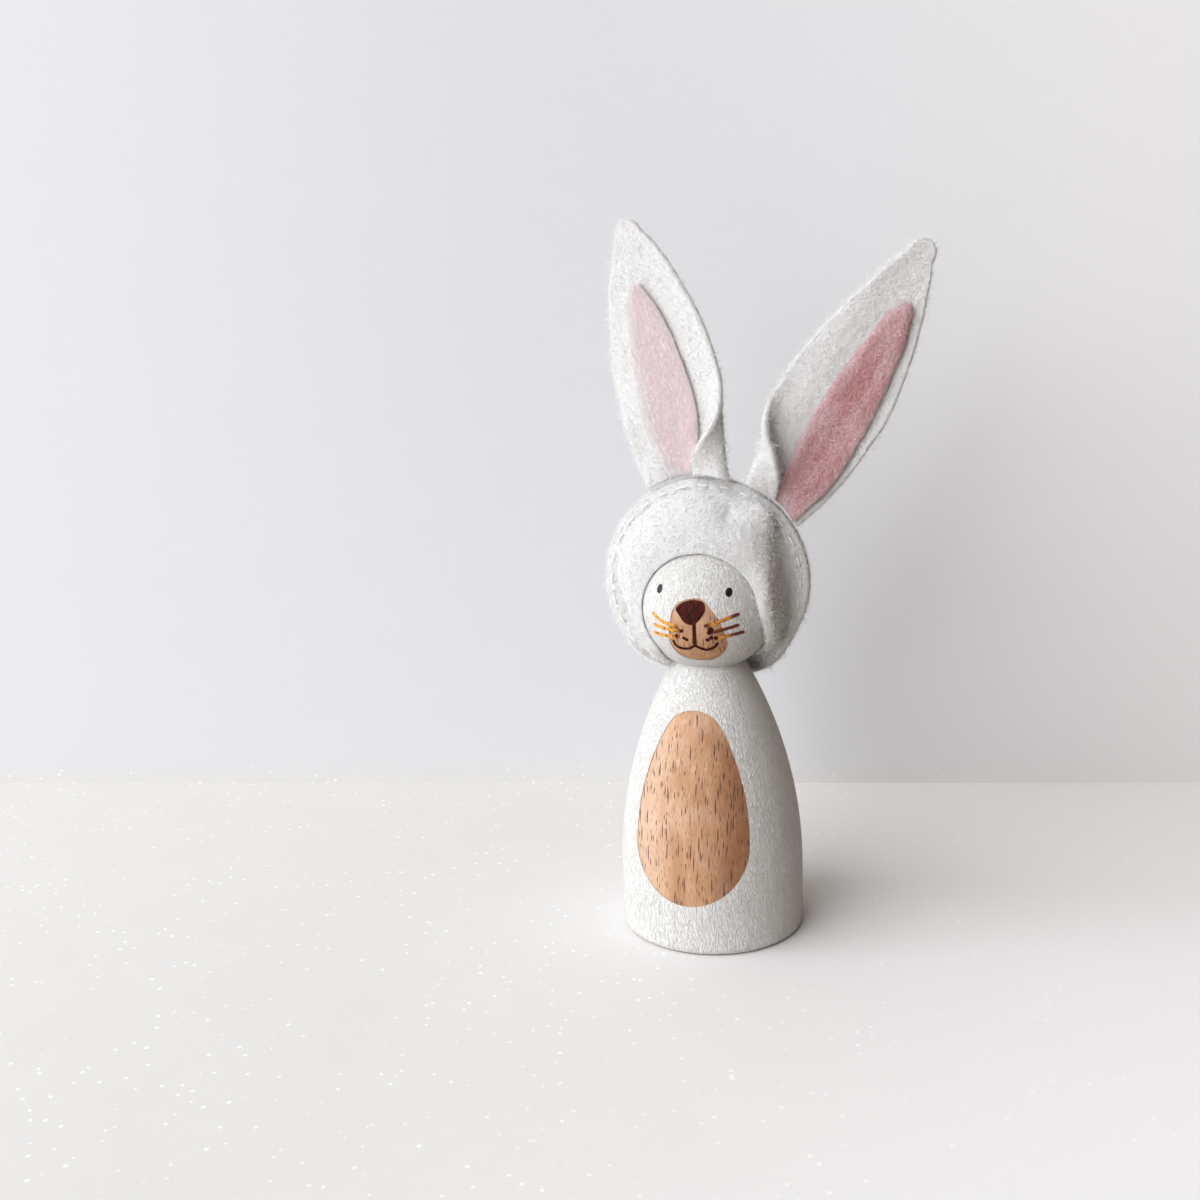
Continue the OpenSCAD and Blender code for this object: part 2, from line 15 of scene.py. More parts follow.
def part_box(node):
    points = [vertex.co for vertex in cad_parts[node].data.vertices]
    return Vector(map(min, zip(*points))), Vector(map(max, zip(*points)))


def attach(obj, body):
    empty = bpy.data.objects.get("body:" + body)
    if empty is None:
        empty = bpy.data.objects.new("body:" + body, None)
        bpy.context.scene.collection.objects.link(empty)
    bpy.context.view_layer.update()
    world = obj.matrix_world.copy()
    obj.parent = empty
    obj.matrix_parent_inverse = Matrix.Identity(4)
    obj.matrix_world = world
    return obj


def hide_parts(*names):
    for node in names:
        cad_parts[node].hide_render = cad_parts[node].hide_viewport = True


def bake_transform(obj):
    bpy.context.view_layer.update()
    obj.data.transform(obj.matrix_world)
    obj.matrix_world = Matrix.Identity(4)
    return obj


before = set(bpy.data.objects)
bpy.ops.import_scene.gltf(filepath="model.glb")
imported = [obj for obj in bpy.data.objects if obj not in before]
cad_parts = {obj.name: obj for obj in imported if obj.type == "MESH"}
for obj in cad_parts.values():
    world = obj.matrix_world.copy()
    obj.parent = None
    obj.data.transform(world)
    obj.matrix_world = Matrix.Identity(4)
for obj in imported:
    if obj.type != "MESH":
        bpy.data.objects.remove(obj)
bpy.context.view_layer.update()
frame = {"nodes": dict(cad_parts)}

bl_info = {
    "name": "Peg doll",
    "version": (1, 0, 0),
    "blender": (4, 5, 0),
    "location": "View3D > Sidebar > Peg doll",
    "description": "Dresses the solids of a felt-hooded wooden rabbit",
    "category": "Object",
}

MM = 0.001

# Sizes that are the same as in the solids
# The peg: its foot, the curve of its side, and its ball head
FOOT_D, FOOT_H, SIDE_R = 36.0, 12.0, 85.0
HEAD_D, HEAD_Z = 27.0, 66.0
# Paint, the slack of the hood on it, the gap in the seam, and the slack at the opening
COAT_T, SLACK, SEAM_GAP, EDGE_SLACK = 0.12, 0.3, 0.08, 0.11
# Felt, and the sewn rim of the hood: its radius, its middle and its rise over the head's
FELT_T, RIM_R, RIM_X, RIM_Y, RIM_RISE = 1.2, 20.0, -0.6, 2.2, 3.6
# The rim's flange, how far in its stitches lie, and how it bows back and drops at the neck
FLANGE_W, STITCH_IN, NECK_BOW, LOW_DROP = 2.4, 1.6, 9.6, 1.6
# The face opening's half angles, how far the forehead puffs, and the back disc's depth
OPEN_TOP, OPEN_SIDE, PUFF, BACK_DEEP = 50.0, 56.0, 7.5, 12.8
STITCH_LEN, THREAD_D, STITCHES = 2.0, 0.4, 28
# Ears: the widths of their outer and inner half and tip, and the gap at their roots
EAR_OUT, EAR_IN, TIP_R, ROOT_GAP = 11.4, 12.4, 2.6, 0.85
# Linings: thickness, half width, and the glue under them
PINK_T, PINK_HALF, GLUE_GAP = 1.0, 5.1, 0.12
# The share of a disc inside its flange, and of an ear that is pleated
FLANGE_SHARE, FOLD_END = 0.84, 0.34
# Lean of the eyes, in degrees
EYE_TILT = 14

# Loose fibres on each white piece of felt and on each lining, and half their thickness
FIBRES, LINING_FIBRES, FIBRE_R = 19000, 12000, 0.048
# Rows of points near a cut edge of felt, and the columns and lines of the two discs
EDGE_ROWS = (0, 0.05, 0.13, 0.26, 0.45, 0.7)
FRONT_COLUMNS, BACK_LINES = 264, 150

# Places round the rim, in degrees from its top, the right cheek being positive. A pair is
# where a change starts, and the degrees that it takes.
BOW_BACK, DROP, THROAT_RIGHT, THROAT_LEFT = (128, 42), (118, 40), (85, 95), (132, 48)
# The roll of felt by the right cheek, and the ends of the full forehead
CHEEK_FROM, CHEEK_TO, TOP_END_LEFT, TOP_END_RIGHT, TOP_FADE = 45, 150, 118, 96, 62
# How many degrees farther the opening reaches at the throat than at the sides
THROAT_OPEN = 66
# Puckers that the thread gathers in the front disc: place, width and depth of each
PUCKERS = ((-120, 5, 0.2), (-92, 5, 0.2), (-62, 4, 0.2), (-40, 5, 0.3), (-17, 4, 0.26),
           (3, 4.5, 0.34), (52, 4, 0.3), (74, 4, 0.24), (98, 5, 0.2), (128, 5, 0.2))

# What follows from these: WRAP_R is where the felt's middle lies on the head, SIDE_C where
# the curve of the side has its centre, STITCH_U the share of a disc inside the stitches
HEAD_R, FOOT_R, RIM_Z, HALF_T = HEAD_D / 2, FOOT_D / 2, HEAD_Z + RIM_RISE, FELT_T / 2
WRAP_R = HEAD_R + COAT_T + SLACK + HALF_T
SIDE_C = FOOT_R - SIDE_R
SEAM_T = (FELT_T + SEAM_GAP) / 2
FOLD_ARC = FELT_T * 3.2
HEAD_AT, RIM_AT = np.array([0.0, 0.0, HEAD_Z]), np.array([RIM_X, RIM_Y, RIM_Z])
ROOT_R = RIM_R + ROOT_GAP
BACKWARDS = np.array([0.0, 1.0, 0.0])
STITCH_U = 1 - (1 - FLANGE_SHARE) * STITCH_IN / FLANGE_W

# One ear: its length, its lean from upright and bend, the place of its root round the rim,
# its yaw and twist, the width of both halves and how wide the outer one starts, where its
# pleat folds, the shift and end of its lining, how both halves cup, its side, and the
# width of the leaf that it is cut from
Ear = namedtuple("Ear", "length lean bend at yaw twist out out_root inner fold_at "
                 "pink_shift pink_end out_cup in_cup side cut_width")
LEFT_EAR = Ear(length=49.6, lean=-14.4, bend=-2, at=-8.8, yaw=13, twist=0,
               out=EAR_OUT, out_root=0.74, inner=EAR_IN, fold_at=0.57,
               pink_shift=-PINK_HALF * 0.2, pink_end=0.75, out_cup=1.6, in_cup=1.4, side=-1, cut_width=24)
RIGHT_EAR = Ear(length=54.3, lean=30, bend=-4, at=41.8, yaw=10, twist=-2,
                out=EAR_OUT * 0.85, out_root=0.62, inner=EAR_IN * 0.9, fold_at=0.46,
                pink_shift=-PINK_HALF * 0.42, pink_end=0.79, out_cup=2.2, in_cup=1.4, side=1, cut_width=21)


# Small mathematics
def smooth(x):
    c = np.clip(x, 0, 1)
    return c * c * (3 - 2 * c)


def ramp(x, start, span):
    """Smooth rise from nought to one that begins at start and takes span."""
    return smooth((x - start) / span)


def dsin(a):
    return np.sin(np.radians(a))


def dcos(a):
    return np.cos(np.radians(a))


def vec(*c):
    return np.stack(np.broadcast_arrays(*[np.asarray(x, float) for x in c]), -1)


def unit(v):
    return v / np.maximum(np.linalg.norm(v, axis=-1, keepdims=True), 1e-12)


def bell(x, width):
    """A soft hill of height one, centred on nought."""
    return np.exp(-((x / width) ** 2))


def lumps(points, size, seed=0.0):
    """Smooth seeded unevenness, from about -1 to 1, at each point."""
    flat = np.asarray(points, float).reshape(-1, 3) / size + seed
    out = np.array([noise.noise(Vector(p)) for p in flat])
    return out.reshape(np.asarray(points).shape[:-1])


# Felt on the peg
def off_ball(p, tuck=0.0):
    """Pushes points out of the ball head, to the felt's middle when it lies on it."""
    d = p - HEAD_AT
    far, keep = np.linalg.norm(d, axis=-1), WRAP_R - tuck
    return HEAD_AT + d * np.where(far < keep, keep / np.maximum(far, 1e-9), 1)[..., None]


def off_body(p):
    """Pushes points out of the body below the head, level with where they are."""
    z = p[..., 2]
    drop = np.maximum(z, FOOT_H) - FOOT_H
    side = SIDE_C + np.sqrt(np.maximum(0, SIDE_R**2 - drop**2))
    side = np.where(z > HEAD_Z - HEAD_R / 2, 0, side + COAT_T + SLACK + HALF_T * 1.15)
    r = np.hypot(p[..., 0], p[..., 1])
    k = np.where(r < side, side / np.maximum(r, 1e-9), 1)
    return p * vec(k, k, 1)


def off_peg(p, tuck=0.0):
    return off_body(off_ball(p, tuck))


def spoke(a):
    """The way up and out at a lean of a degrees, such as from the rim's middle to its edge."""
    return vec(dsin(a), 0, dcos(a))


def rim_back(a):
    return RIM_Y + NECK_BOW * ramp(abs(a), *BOW_BACK)


def rim_at(a, r):
    k = r + LOW_DROP * ramp(abs(a), *DROP)
    return vec(RIM_X + k * dsin(a), rim_back(a) + 0 * k, RIM_Z + k * dcos(a))


def rim_normal(a):
    return unit(np.cross(spoke(a), rim_at(a + 1, RIM_R) - rim_at(a - 1, RIM_R)))


def open_at(a):
    """Half angle of the face opening; it widens down each side and is open at the throat."""
    start, span = (np.where(a > 0, *pair) for pair in zip(THROAT_RIGHT, THROAT_LEFT))
    return (OPEN_TOP + (OPEN_SIDE + 1 - OPEN_TOP) * dsin(abs(a) / 2) ** 2
            + THROAT_OPEN * ramp(abs(a), start, span))


def top_share(a):
    """One over the forehead, nought below the cheeks."""
    return smooth((np.where(a < 0, TOP_END_LEFT, TOP_END_RIGHT) - abs(a)) / TOP_FADE)


def right_share(a):
    """One beside the right cheek, where the felt rolls."""
    return ramp(a, CHEEK_FROM, 40) * smooth((CHEEK_TO - a) / 40)


def lip(u, a):
    """Half the felt's thickness near the face opening: thin, but full by the cheek."""
    thin = 0.66 * (1 - 0.75 * right_share(a)) * (1 - smooth(u / 0.26))
    return HALF_T * (1 - thin)


def tuck_at(u, a):
    """How much nearer to the head the edge of the opening lies than the rest."""
    return HALF_T - lip(u, a) + (SLACK - EDGE_SLACK) * (1 - ramp(u, 0.05, 0.2))


def shoulder(u, a):
    """Fills the bend before the flange, except by the cheek, where it shows."""
    return 0.85 * (1 - ramp(a, 62, 30)) * (1 - ramp(abs(a), 130, 30)) * bell(u - 0.87, 0.075)


def front_mid(u, a):
    """Middle of the front disc's felt, u from the face opening to the rim."""
    # a curve from the edge of the opening, out over the puffed forehead and in to the flange
    o, t, g = open_at(a), top_share(a), right_share(a)
    w, lift = np.minimum(1, u / FLANGE_SHARE), 10 + 22 * t + 30 * g
    along = vec(dcos(o) * dsin(a), dsin(o), dcos(o) * dcos(a))
    out = vec(dsin(o) * dsin(a), -dcos(o), dsin(o) * dcos(a))
    inner, dip = rim_at(a, RIM_R - FLANGE_W + 0 * u), 75 - 68 * t
    tuck = tuck_at(u, a)
    e = HEAD_AT + (WRAP_R - tuck_at(0, a))[..., None] * out
    p1 = e + (PUFF * (0.42 + 0.58 * t - 0.08 * g))[..., None] * (
        dcos(lift)[..., None] * along + dsin(lift)[..., None] * out)
    p2 = inner - (PUFF * (0.45 + 0.2 * t))[..., None] * (
        dcos(dip)[..., None] * BACKWARDS + dsin(dip)[..., None] * spoke(a))
    v, w = (1 - w)[..., None], w[..., None]
    q = v**3 * e + 3 * v * v * w * p1 + 3 * v * w * w * p2 + w**3 * inner
    f = np.maximum(0, (u - FLANGE_SHARE) / (1 - FLANGE_SHARE))
    s = np.where((u < FLANGE_SHARE)[..., None], q, rim_at(a, RIM_R - FLANGE_W * (1 - f)))
    seam = SEAM_T * ramp(u, 0.55, 0.29) + shoulder(u, a)
    return off_peg(s - seam[..., None] * rim_normal(a), tuck)


def back_mid(u, a):
    """Middle of the back disc's felt, u from its middle to the rim."""
    w = np.minimum(1, u / FLANGE_SHARE)
    f = np.maximum(0, (u - FLANGE_SHARE) / (1 - FLANGE_SHARE))
    h = w**2.4
    deep = np.sqrt(BACK_DEEP**2 * (1 - h) + (rim_back(a) - RIM_Y) ** 2 * h)
    c = rim_at(a, (RIM_R - FLANGE_W) * w + FLANGE_W * f)
    n = h[..., None] * rim_normal(a) + (1 - h)[..., None] * BACKWARDS
    return off_peg(vec(c[..., 0], RIM_Y + deep, c[..., 2] - RIM_RISE / 2 * (1 - w)) + SEAM_T * n)


# Ears
def leaf(t, peak, root):
    """Outline of half an ear: widest at the peak, root times as wide at its foot."""
    high = np.maximum(0, 1 - (np.maximum(0, t - peak) / (1 - peak)) ** 1.35) ** 0.7
    low = 1 + (root - 1) * (np.maximum(0, peak - t) / peak) ** 2
    return np.where(t > peak, high, low)


def tip_width(c, t):
    """Half width of the rounded tip."""
    d = np.minimum(TIP_R, c.length * (1 - t))
    return np.maximum(TIP_R / 5, np.sqrt(np.maximum(0, TIP_R**2 - (TIP_R - d) ** 2)))


def out_width(c, t):
    return np.maximum(tip_width(c, t), c.out * leaf(t, 0.42, c.out_root))


def in_width(c, t):
    return np.maximum(tip_width(c, t), c.inner * leaf(t, 0.4, 1.3))


def roll_back(c, s):
    """Extra turn of the felt towards the window side of each ear, in degrees."""
    if c.side < 0:
        return 2.2 * np.maximum(0, -s)
    return -5.5 * np.maximum(0, s - 4)


def turn_at(c, t, s):
    """Turn of the felt across an ear, in degrees: its cup, its pleat and its margin."""
    fold = 140 * (1 - smooth(t / FOLD_END)) + 34 * (1 - t)
    at = EAR_IN * (c.fold_at + 0.13 * smooth(t / FOLD_END))
    free = ramp(t, 0.12, 0.3) * (1 - ramp(t, 0.86, 0.1))
    cup = np.where(s < 0, c.out_cup, c.in_cup) * s * 10 / EAR_OUT
    return cup + np.where(s < 0, 0, fold * smooth((s - at) / FOLD_ARC)) + roll_back(c, s) * free


def section(c, t, s, steps=24):
    """Place across an ear of the point that is s along its felt."""
    x, y = 0 * s, 0 * s
    for k in range(steps):
        a = turn_at(c, t, s * (k + 0.5) / steps)
        x, y = x + dcos(a) * s / steps, y + dsin(a) * s / steps
    return x, y


def spine(c, t, steps=12):
    """Middle line of an ear, bent a little along its length."""
    p = np.zeros(t.shape + (3,))
    for k in range(steps):
        q = t * (k + 0.5) / steps
        a, b = c.lean + c.bend * (q - 0.5), 3 + 2 * q
        p = p + (c.length * t / steps)[..., None] * vec(dsin(a) * dcos(b), dsin(b), dcos(a) * dcos(b))
    return p


def ear_at(c, t, s, h=0.0):
    """A point of an ear: t along it, s across, h in front of the felt's middle."""
    a, b, yaw = c.lean + c.bend * (t - 0.5), 3 + 2 * t, c.yaw + c.twist * t
    in0 = -c.side * vec(dcos(a), 0, -dsin(a))
    fw0 = vec(dsin(a) * dsin(b), -dcos(b), dcos(a) * dsin(b))
    seat = 1 - (1 - smooth(t / 0.15)) * smooth(-2 * s / EAR_OUT)
    cy, sy = dcos(yaw)[..., None], (dsin(yaw) * seat)[..., None]
    in1, fw1 = in0 * cy + fw0 * sy, fw0 * cy - in0 * sy
    x, y = section(c, t, s)
    f, out, up = turn_at(c, t, s), ROOT_R * spoke(c.at), spoke(a)
    # the foot of the ear is cut to the curve of the rim
    v = out + in0 * x[..., None]
    vu = (v * up).sum(-1)
    sag = np.sqrt(np.maximum(0, vu * vu - (v * v).sum(-1) + ROOT_R * ROOT_R)) - vu
    return (RIM_AT + out + spine(c, t)
            + up * (sag * (1 - smooth(t / 0.3)))[..., None]
            + in1 * (x - h * dsin(f))[..., None] + fw1 * (y + h * dcos(f))[..., None])


def pink_width(t):
    """Half width of a lining: a leaf, widest a third of the way up."""
    high = np.maximum(0.18, np.sqrt(np.maximum(0, 1 - (np.maximum(0, t - 0.35) / 0.65) ** 1.8)))
    return PINK_HALF * np.where(t > 0.35, high, 1 - 0.5 * (np.maximum(0, 0.35 - t) / 0.35) ** 2)


# Meshes
def deselect():
    if bpy.context.object and bpy.context.object.mode != "OBJECT":
        bpy.ops.object.mode_set(mode="OBJECT")
    bpy.ops.object.select_all(action="DESELECT")


def pick(o):
    deselect()
    o.select_set(True)
    bpy.context.view_layer.objects.active = o
    return o


def join(objects):
    deselect()
    for o in objects:
        o.select_set(True)
    bpy.context.view_layer.objects.active = objects[0]
    bpy.ops.object.join()
    return bpy.context.object


def placed(axes, at):
    """The matrix that takes x, y and z to three axes, and the origin to a place."""
    return Matrix([(*row, w) for row, w in zip(np.array(axes).T, at)] + [(0, 0, 0, 1)])


def turn_out():
    """Turns all faces of the active mesh outwards, and leaves edit mode."""
    bpy.ops.object.mode_set(mode="EDIT")
    bpy.ops.mesh.select_all(action="SELECT")
    bpy.ops.mesh.normals_make_consistent(inside=False)
    bpy.ops.object.mode_set(mode="OBJECT")


def new_object(name, points, faces):
    """An object of the scene from points in millimetres."""
    me = bpy.data.meshes.new(name)
    me.from_pydata((points * MM).tolist(), [], faces)
    o = bpy.data.objects.new(name, me)
    bpy.context.scene.collection.objects.link(o)
    return o


def grid_normals(g, wrap):
    du = np.gradient(g, axis=0)
    dv = np.roll(g, -1, 1) - np.roll(g, 1, 1) if wrap else np.gradient(g, axis=1)
    return unit(np.cross(du, dv))


def outward(mid, wrap):
    """Normals of a grid of felt, all of them turned away from the head."""
    normal = grid_normals(mid, wrap)
    return -normal if (normal * (mid - HEAD_AT)).sum() < 0 else normal


def rounded(far, half, round_r=0.45, least=0.2):
    """Half the felt's thickness, thinning round the cut edge."""
    return half * np.sqrt(np.maximum(least, 1 - (1 - np.clip(far / round_r, 0, 1)) ** 2))


def felt_piece(name, mid, far, half, wrap=False, seed=0.0, rough=0.06, seam=None, soft=(0.45, 0.2)):
    """A sheet of felt about a grid of middle points; far is the way to its cut edge.

    seam is a direction, and how near each point is to the sewn rim: the face that looks
    that way stays flat there, against the other disc.
    """
    n, m = mid.shape[:2]
    normal = grid_normals(mid, wrap)
    thick = rounded(far, half, *soft)
    skin = []
    for side in (1, -1):
        away = side * thick
        uneven = rough * np.clip(far, 0.3, 1) * (
            lumps(mid, 1.3, seed + 9 * side) + 1.2 * lumps(mid, 3.7, seed + 5 * side))
        if seam is not None and side == seam[0]:
            away = away + seam[1] * (side * half - away)
            uneven = uneven * (1 - seam[1])
        skin.append(mid + normal * (away + uneven)[..., None])
    o, w = n * m, m if wrap else m - 1
    faces = []
    for i in range(n - 1):
        for j in range(w):
            k = (j + 1) % m
            quad = (i * m + j, (i + 1) * m + j, (i + 1) * m + k, i * m + k)
            faces += [quad, tuple(o + v for v in reversed(quad))]
    for j in range(w):
        k, b = (j + 1) % m, (n - 1) * m
        faces += [(j, k, o + k, o + j), (b + k, b + j, o + b + j, o + b + k)]
    if not wrap:
        for i in range(n - 1):
            p, q = i * m, i * m + m - 1
            faces += [(p + m, p, o + p, o + p + m), (q, q + m, o + q + m, o + q)]
    piece = pick(new_object(name, np.concatenate([s.reshape(-1, 3) for s in skin]), faces))
    piece.data.validate()
    turn_out()
    bpy.ops.object.shade_smooth()
    return piece, np.tile(far.reshape(-1), 2)


def felt_grid(long, step, margin, inner, count):
    """Places along a piece and across it, close together near its cut edge."""
    near, last, margin = np.array(EDGE_ROWS[:-1]), EDGE_ROWS[-1], np.array(margin)
    rows = np.linspace(last, long - last, int(round((long - 2 * last) / step)) + 1)
    rows = np.concatenate([near, rows, long - near[::-1]]) / long
    across = np.concatenate([margin - 1, np.linspace(-inner, inner, count), 1 - margin[::-1]])
    return np.broadcast_arrays(rows[:, None], across[None, :])


def strands(name, piece, edge, count, short, long, seed, rim=3.0, face=0):
    """Loose wool fibres that stand off a felt piece, more of them along its cut edge.

    face 1 or -1 keeps them to that face of the sheet and its cut edge.
    """
    rng = np.random.default_rng(seed)
    me = piece.data
    me.calc_loop_triangles()
    co = np.array([v.co for v in me.vertices], float) / MM
    tri = np.array([t.vertices for t in me.loop_triangles])
    if face:
        first = tri < len(co) // 2
        tri = tri[(first if face > 0 else ~first).any(1)]
    a, b, c = co[tri[:, 0]], co[tri[:, 1]], co[tri[:, 2]]
    cross = np.cross(b - a, c - a)
    area = np.linalg.norm(cross, axis=1)
    by_edge = edge[tri].mean(1) < 0.5
    weight = area * np.where(by_edge, rim, 1)
    chosen = rng.choice(len(tri), count, p=weight / weight.sum())
    r1, r2 = rng.random((2, count))
    flip = r1 + r2 > 1
    r1, r2 = np.where(flip, 1 - r1, r1)[:, None], np.where(flip, 1 - r2, r2)[:, None]
    root = a[chosen] + r1 * (b - a)[chosen] + r2 * (c - a)[chosen]
    up = unit(cross)[chosen]
    side = unit(np.cross(up, rng.normal(size=(count, 3))))
    tilt = np.radians(4 + 70 * rng.random(count) ** 2.2)[:, None]
    way = unit(side * np.cos(tilt) + up * np.sin(tilt))
    bend = rng.normal(size=(count, 3)) * 0.9 - up * np.sin(tilt) * 0.4
    size = (short + (long - short) * rng.random(count) ** 3)[:, None]
    # fibres that stand up, and those of a cut edge, are finer than the ones that lie
    cut = by_edge[chosen][:, None]
    thick = np.where(cut, 0.5, 1 - 0.45 * np.sin(tilt)) * FIBRE_R
    size = np.where(cut, 0.75, 1) * size
    across = unit(np.cross(way, bend + 1e-6))
    other = unit(np.cross(way, across))
    # each fibre is a bent spike: two rings of three points, and its tip
    points = np.empty((count, 7, 3))
    for i, s in enumerate((0, 0.55)):
        for k in range(3):
            t = 2 * math.pi * k / 3
            points[:, 3 * i + k] = (root - up * 0.05 + size * (s * way + 0.5 * s * s * bend)
                                    + thick * (1 - 0.4 * s) * (math.cos(t) * across + math.sin(t) * other))
    points[:, 6] = root - up * 0.05 + size * (way + 0.5 * bend)
    one = [(k, (k + 1) % 3, 3 + (k + 1) % 3, 3 + k) for k in range(3)]
    one += [(3 + k, 3 + (k + 1) % 3, 6) for k in range(3)] + [(2, 1, 0)]
    faces = [tuple(7 * n + v for v in f) for n in range(count) for f in one]
    o = new_object(name, points.reshape(-1, 3), faces)
    o.data.update()
    o.data.polygons.foreach_set("use_smooth", [True] * len(o.data.polygons))
    return o


# Materials
class Finish:
    """One procedural material, built node by node."""

    def __init__(self, name, **sockets):
        self.material = bpy.data.materials.new(name)
        self.material.use_nodes = True
        self.nodes = self.material.node_tree.nodes
        self.links = self.material.node_tree.links
        self.shader = self.nodes["Principled BSDF"]
        for key, value in sockets.items():
            self.put(self.shader.inputs[key.replace("_", " ").title().replace("Ior", "IOR")], value)

    def put(self, socket, value):
        """Links another socket's output, or writes a value."""
        if isinstance(value, bpy.types.NodeSocket):
            self.links.new(value, socket)
        elif socket.type == "RGBA":
            socket.default_value = (*value[:3], 1)
        else:
            socket.default_value = value

    def node(self, kind, *values, **named):
        """A node with values for its first sockets; a named socket starts with a capital."""
        n = self.nodes.new("ShaderNode" + kind)
        for key, value in named.items():
            if key[0].isupper():
                self.put(n.inputs[key], value)
            else:
                setattr(n, key, value)
        for socket, value in zip(n.inputs, values):
            self.put(socket, value)
        return n

    def place(self, scale=(1, 1, 1), turn=(0, 0, 0), move=(0, 0, 0)):
        """Object coordinates in millimetres, stretched, turned or moved."""
        at = self.node("TexCoord").outputs["Object"]
        return self.node("Mapping", at, Location=move, Rotation=[math.radians(a) for a in turn],
                         Scale=[s / MM for s in scale]).outputs[0]

    def stretch(self, at, scale):
        """Other coordinates, scaled after they were turned."""
        return self.node("Mapping", at, Scale=scale).outputs[0]

    def combed(self, lean):
        """Coordinates that draw a pattern out along an ear that leans."""
        return self.stretch(self.place(turn=(0, lean, 0)), (1.7, 1.7, 0.33))

    def noise(self, at, scale=1.0, detail=2.0, rough=0.5, warp=0.0):
        return self.node("TexNoise", at, Scale=scale, Detail=detail, Roughness=rough,
                         Distortion=warp).outputs[0]

    def cells(self, at, scale=1.0):
        return self.node("TexVoronoi", at, Scale=scale).outputs[0]

    def sums(self, operation, a, b=0.0, clamp=False):
        return self.node("Math", a, b, operation=operation, use_clamp=clamp).outputs[0]

    def times(self, a, b):
        return self.sums("MULTIPLY", a, b)

    def apart(self, a, b):
        """How far two values lie apart."""
        return self.sums("ABSOLUTE", self.sums("SUBTRACT", a, b))

    def band(self, value, low, high, to_low=0.0, to_high=1.0):
        """Smooth rise or fall from one value to another between low and high."""
        return self.node("MapRange", value, low, high, to_low, to_high,
                         interpolation_type="SMOOTHSTEP").outputs[0]

    def mix(self, share, a, b, blend="MIX"):
        n = self.node("Mix", data_type="RGBA", blend_type=blend)
        self.put(n.inputs[0], share)
        self.put(n.inputs[6], a)
        self.put(n.inputs[7], b)
        return n.outputs[2]

    def bump(self, height, depth, under=None):
        """Relief of that depth in millimetres, over another one."""
        n = self.node("Bump", Height=height, Strength=1.0, Distance=depth * MM)
        if under is not None:
            self.put(n.inputs["Normal"], under)
        return n.outputs[0]

    def split(self, at):
        return self.node("SeparateXYZ", at).outputs

    def cover(self, shade, roughness=None, normal=None):
        for key, value in (("Base Color", shade), ("Roughness", roughness), ("Normal", normal)):
            if value is not None:
                self.put(self.shader.inputs[key], value)
        return self

    def wear(self, *objects):
        for o in objects:
            o.data.materials.clear()
            o.data.materials.append(self.material)


def beech(colours):
    """Turned beech: year rings about a far pith, fine fibres, dark rays and pores."""
    f = Finish("beech", specular_ior_level=0.55)
    at = f.place()
    fine = f.noise(f.place((5, 1, 0.4)), 1.0, 3, 0.6)
    slow = f.noise(f.place((0.3, 0.3, 0.03)), 1.0, 3, 0.55, 0.5)
    cloud = f.noise(at, 0.15, 2)
    x, y, _ = f.split(f.place((1, 1, 1), (5, -7, 0), (-7, 26, 0)))
    far = f.sums("SQRT", f.sums("ADD", f.times(x, x), f.times(y, y)))
    swirl = f.noise(f.place((0.16, 0.16, 0.09), (0, 0, 0), (2, 0, 1)), 1.0, 2, 0.5, 0.9)
    rings = f.sums("SINE", f.sums("ADD", f.times(far, 3.1), f.times(swirl, 16)))
    short = f.band(f.cells(f.place((2.4, 0.4, 0.3))), 0.28, 0.15)
    long = f.band(f.cells(f.place((1.7, 0.35, 0.12), (0, 0, 0), (3, 1, 2))), 0.26, 0.14)
    some = f.band(f.noise(f.place((0.8, 0.8, 0.3)), 1.0, 1), 0.36, 0.52)
    ray = f.sums("MAXIMUM", f.times(short, some), long)
    pore = f.band(f.cells(f.place((3.6, 0.8, 0.5), (0, 0, 0), (1, 2, 0))), 0.3, 0.14)
    wood = f.mix(f.band(slow, 0.36, 0.66), colours.beech, colours.beech_dark)
    wood = f.mix(f.times(f.band(rings, -0.2, 1.0), 0.5), wood, colours.beech_dark)
    wood = f.mix(f.times(f.band(fine, 0.4, 0.64), 0.75), wood, colours.beech_dark)
    wood = f.mix(f.times(f.band(cloud, 0.5, 0.75), 0.3), wood, colours.beech_pale)
    # painted light: the wood is painted paler on its left, where the window lights it, and darker on its
    # right, which is in shade
    across = f.split(at)[0]
    wood = f.mix(f.band(across, -2.0, -9.0, 0.0, 0.5), wood, colours.beech_pale)
    wood = f.mix(f.band(across, 1.0, 8.5, 0.0, 0.85), wood, (0.62, 0.48, 0.40), "MULTIPLY")
    wood = f.mix(f.times(pore, 0.5), wood, colours.beech_fleck)
    wood = f.mix(ray, wood, colours.beech_fleck)
    hollows = f.sums("ADD", ray, f.times(pore, 0.4))
    height = f.sums("SUBTRACT", f.times(fine, 0.6), hollows)
    return f.cover(wood, f.band(fine, 0.3, 0.8, 0.5, 0.66), f.bump(height, 0.06))


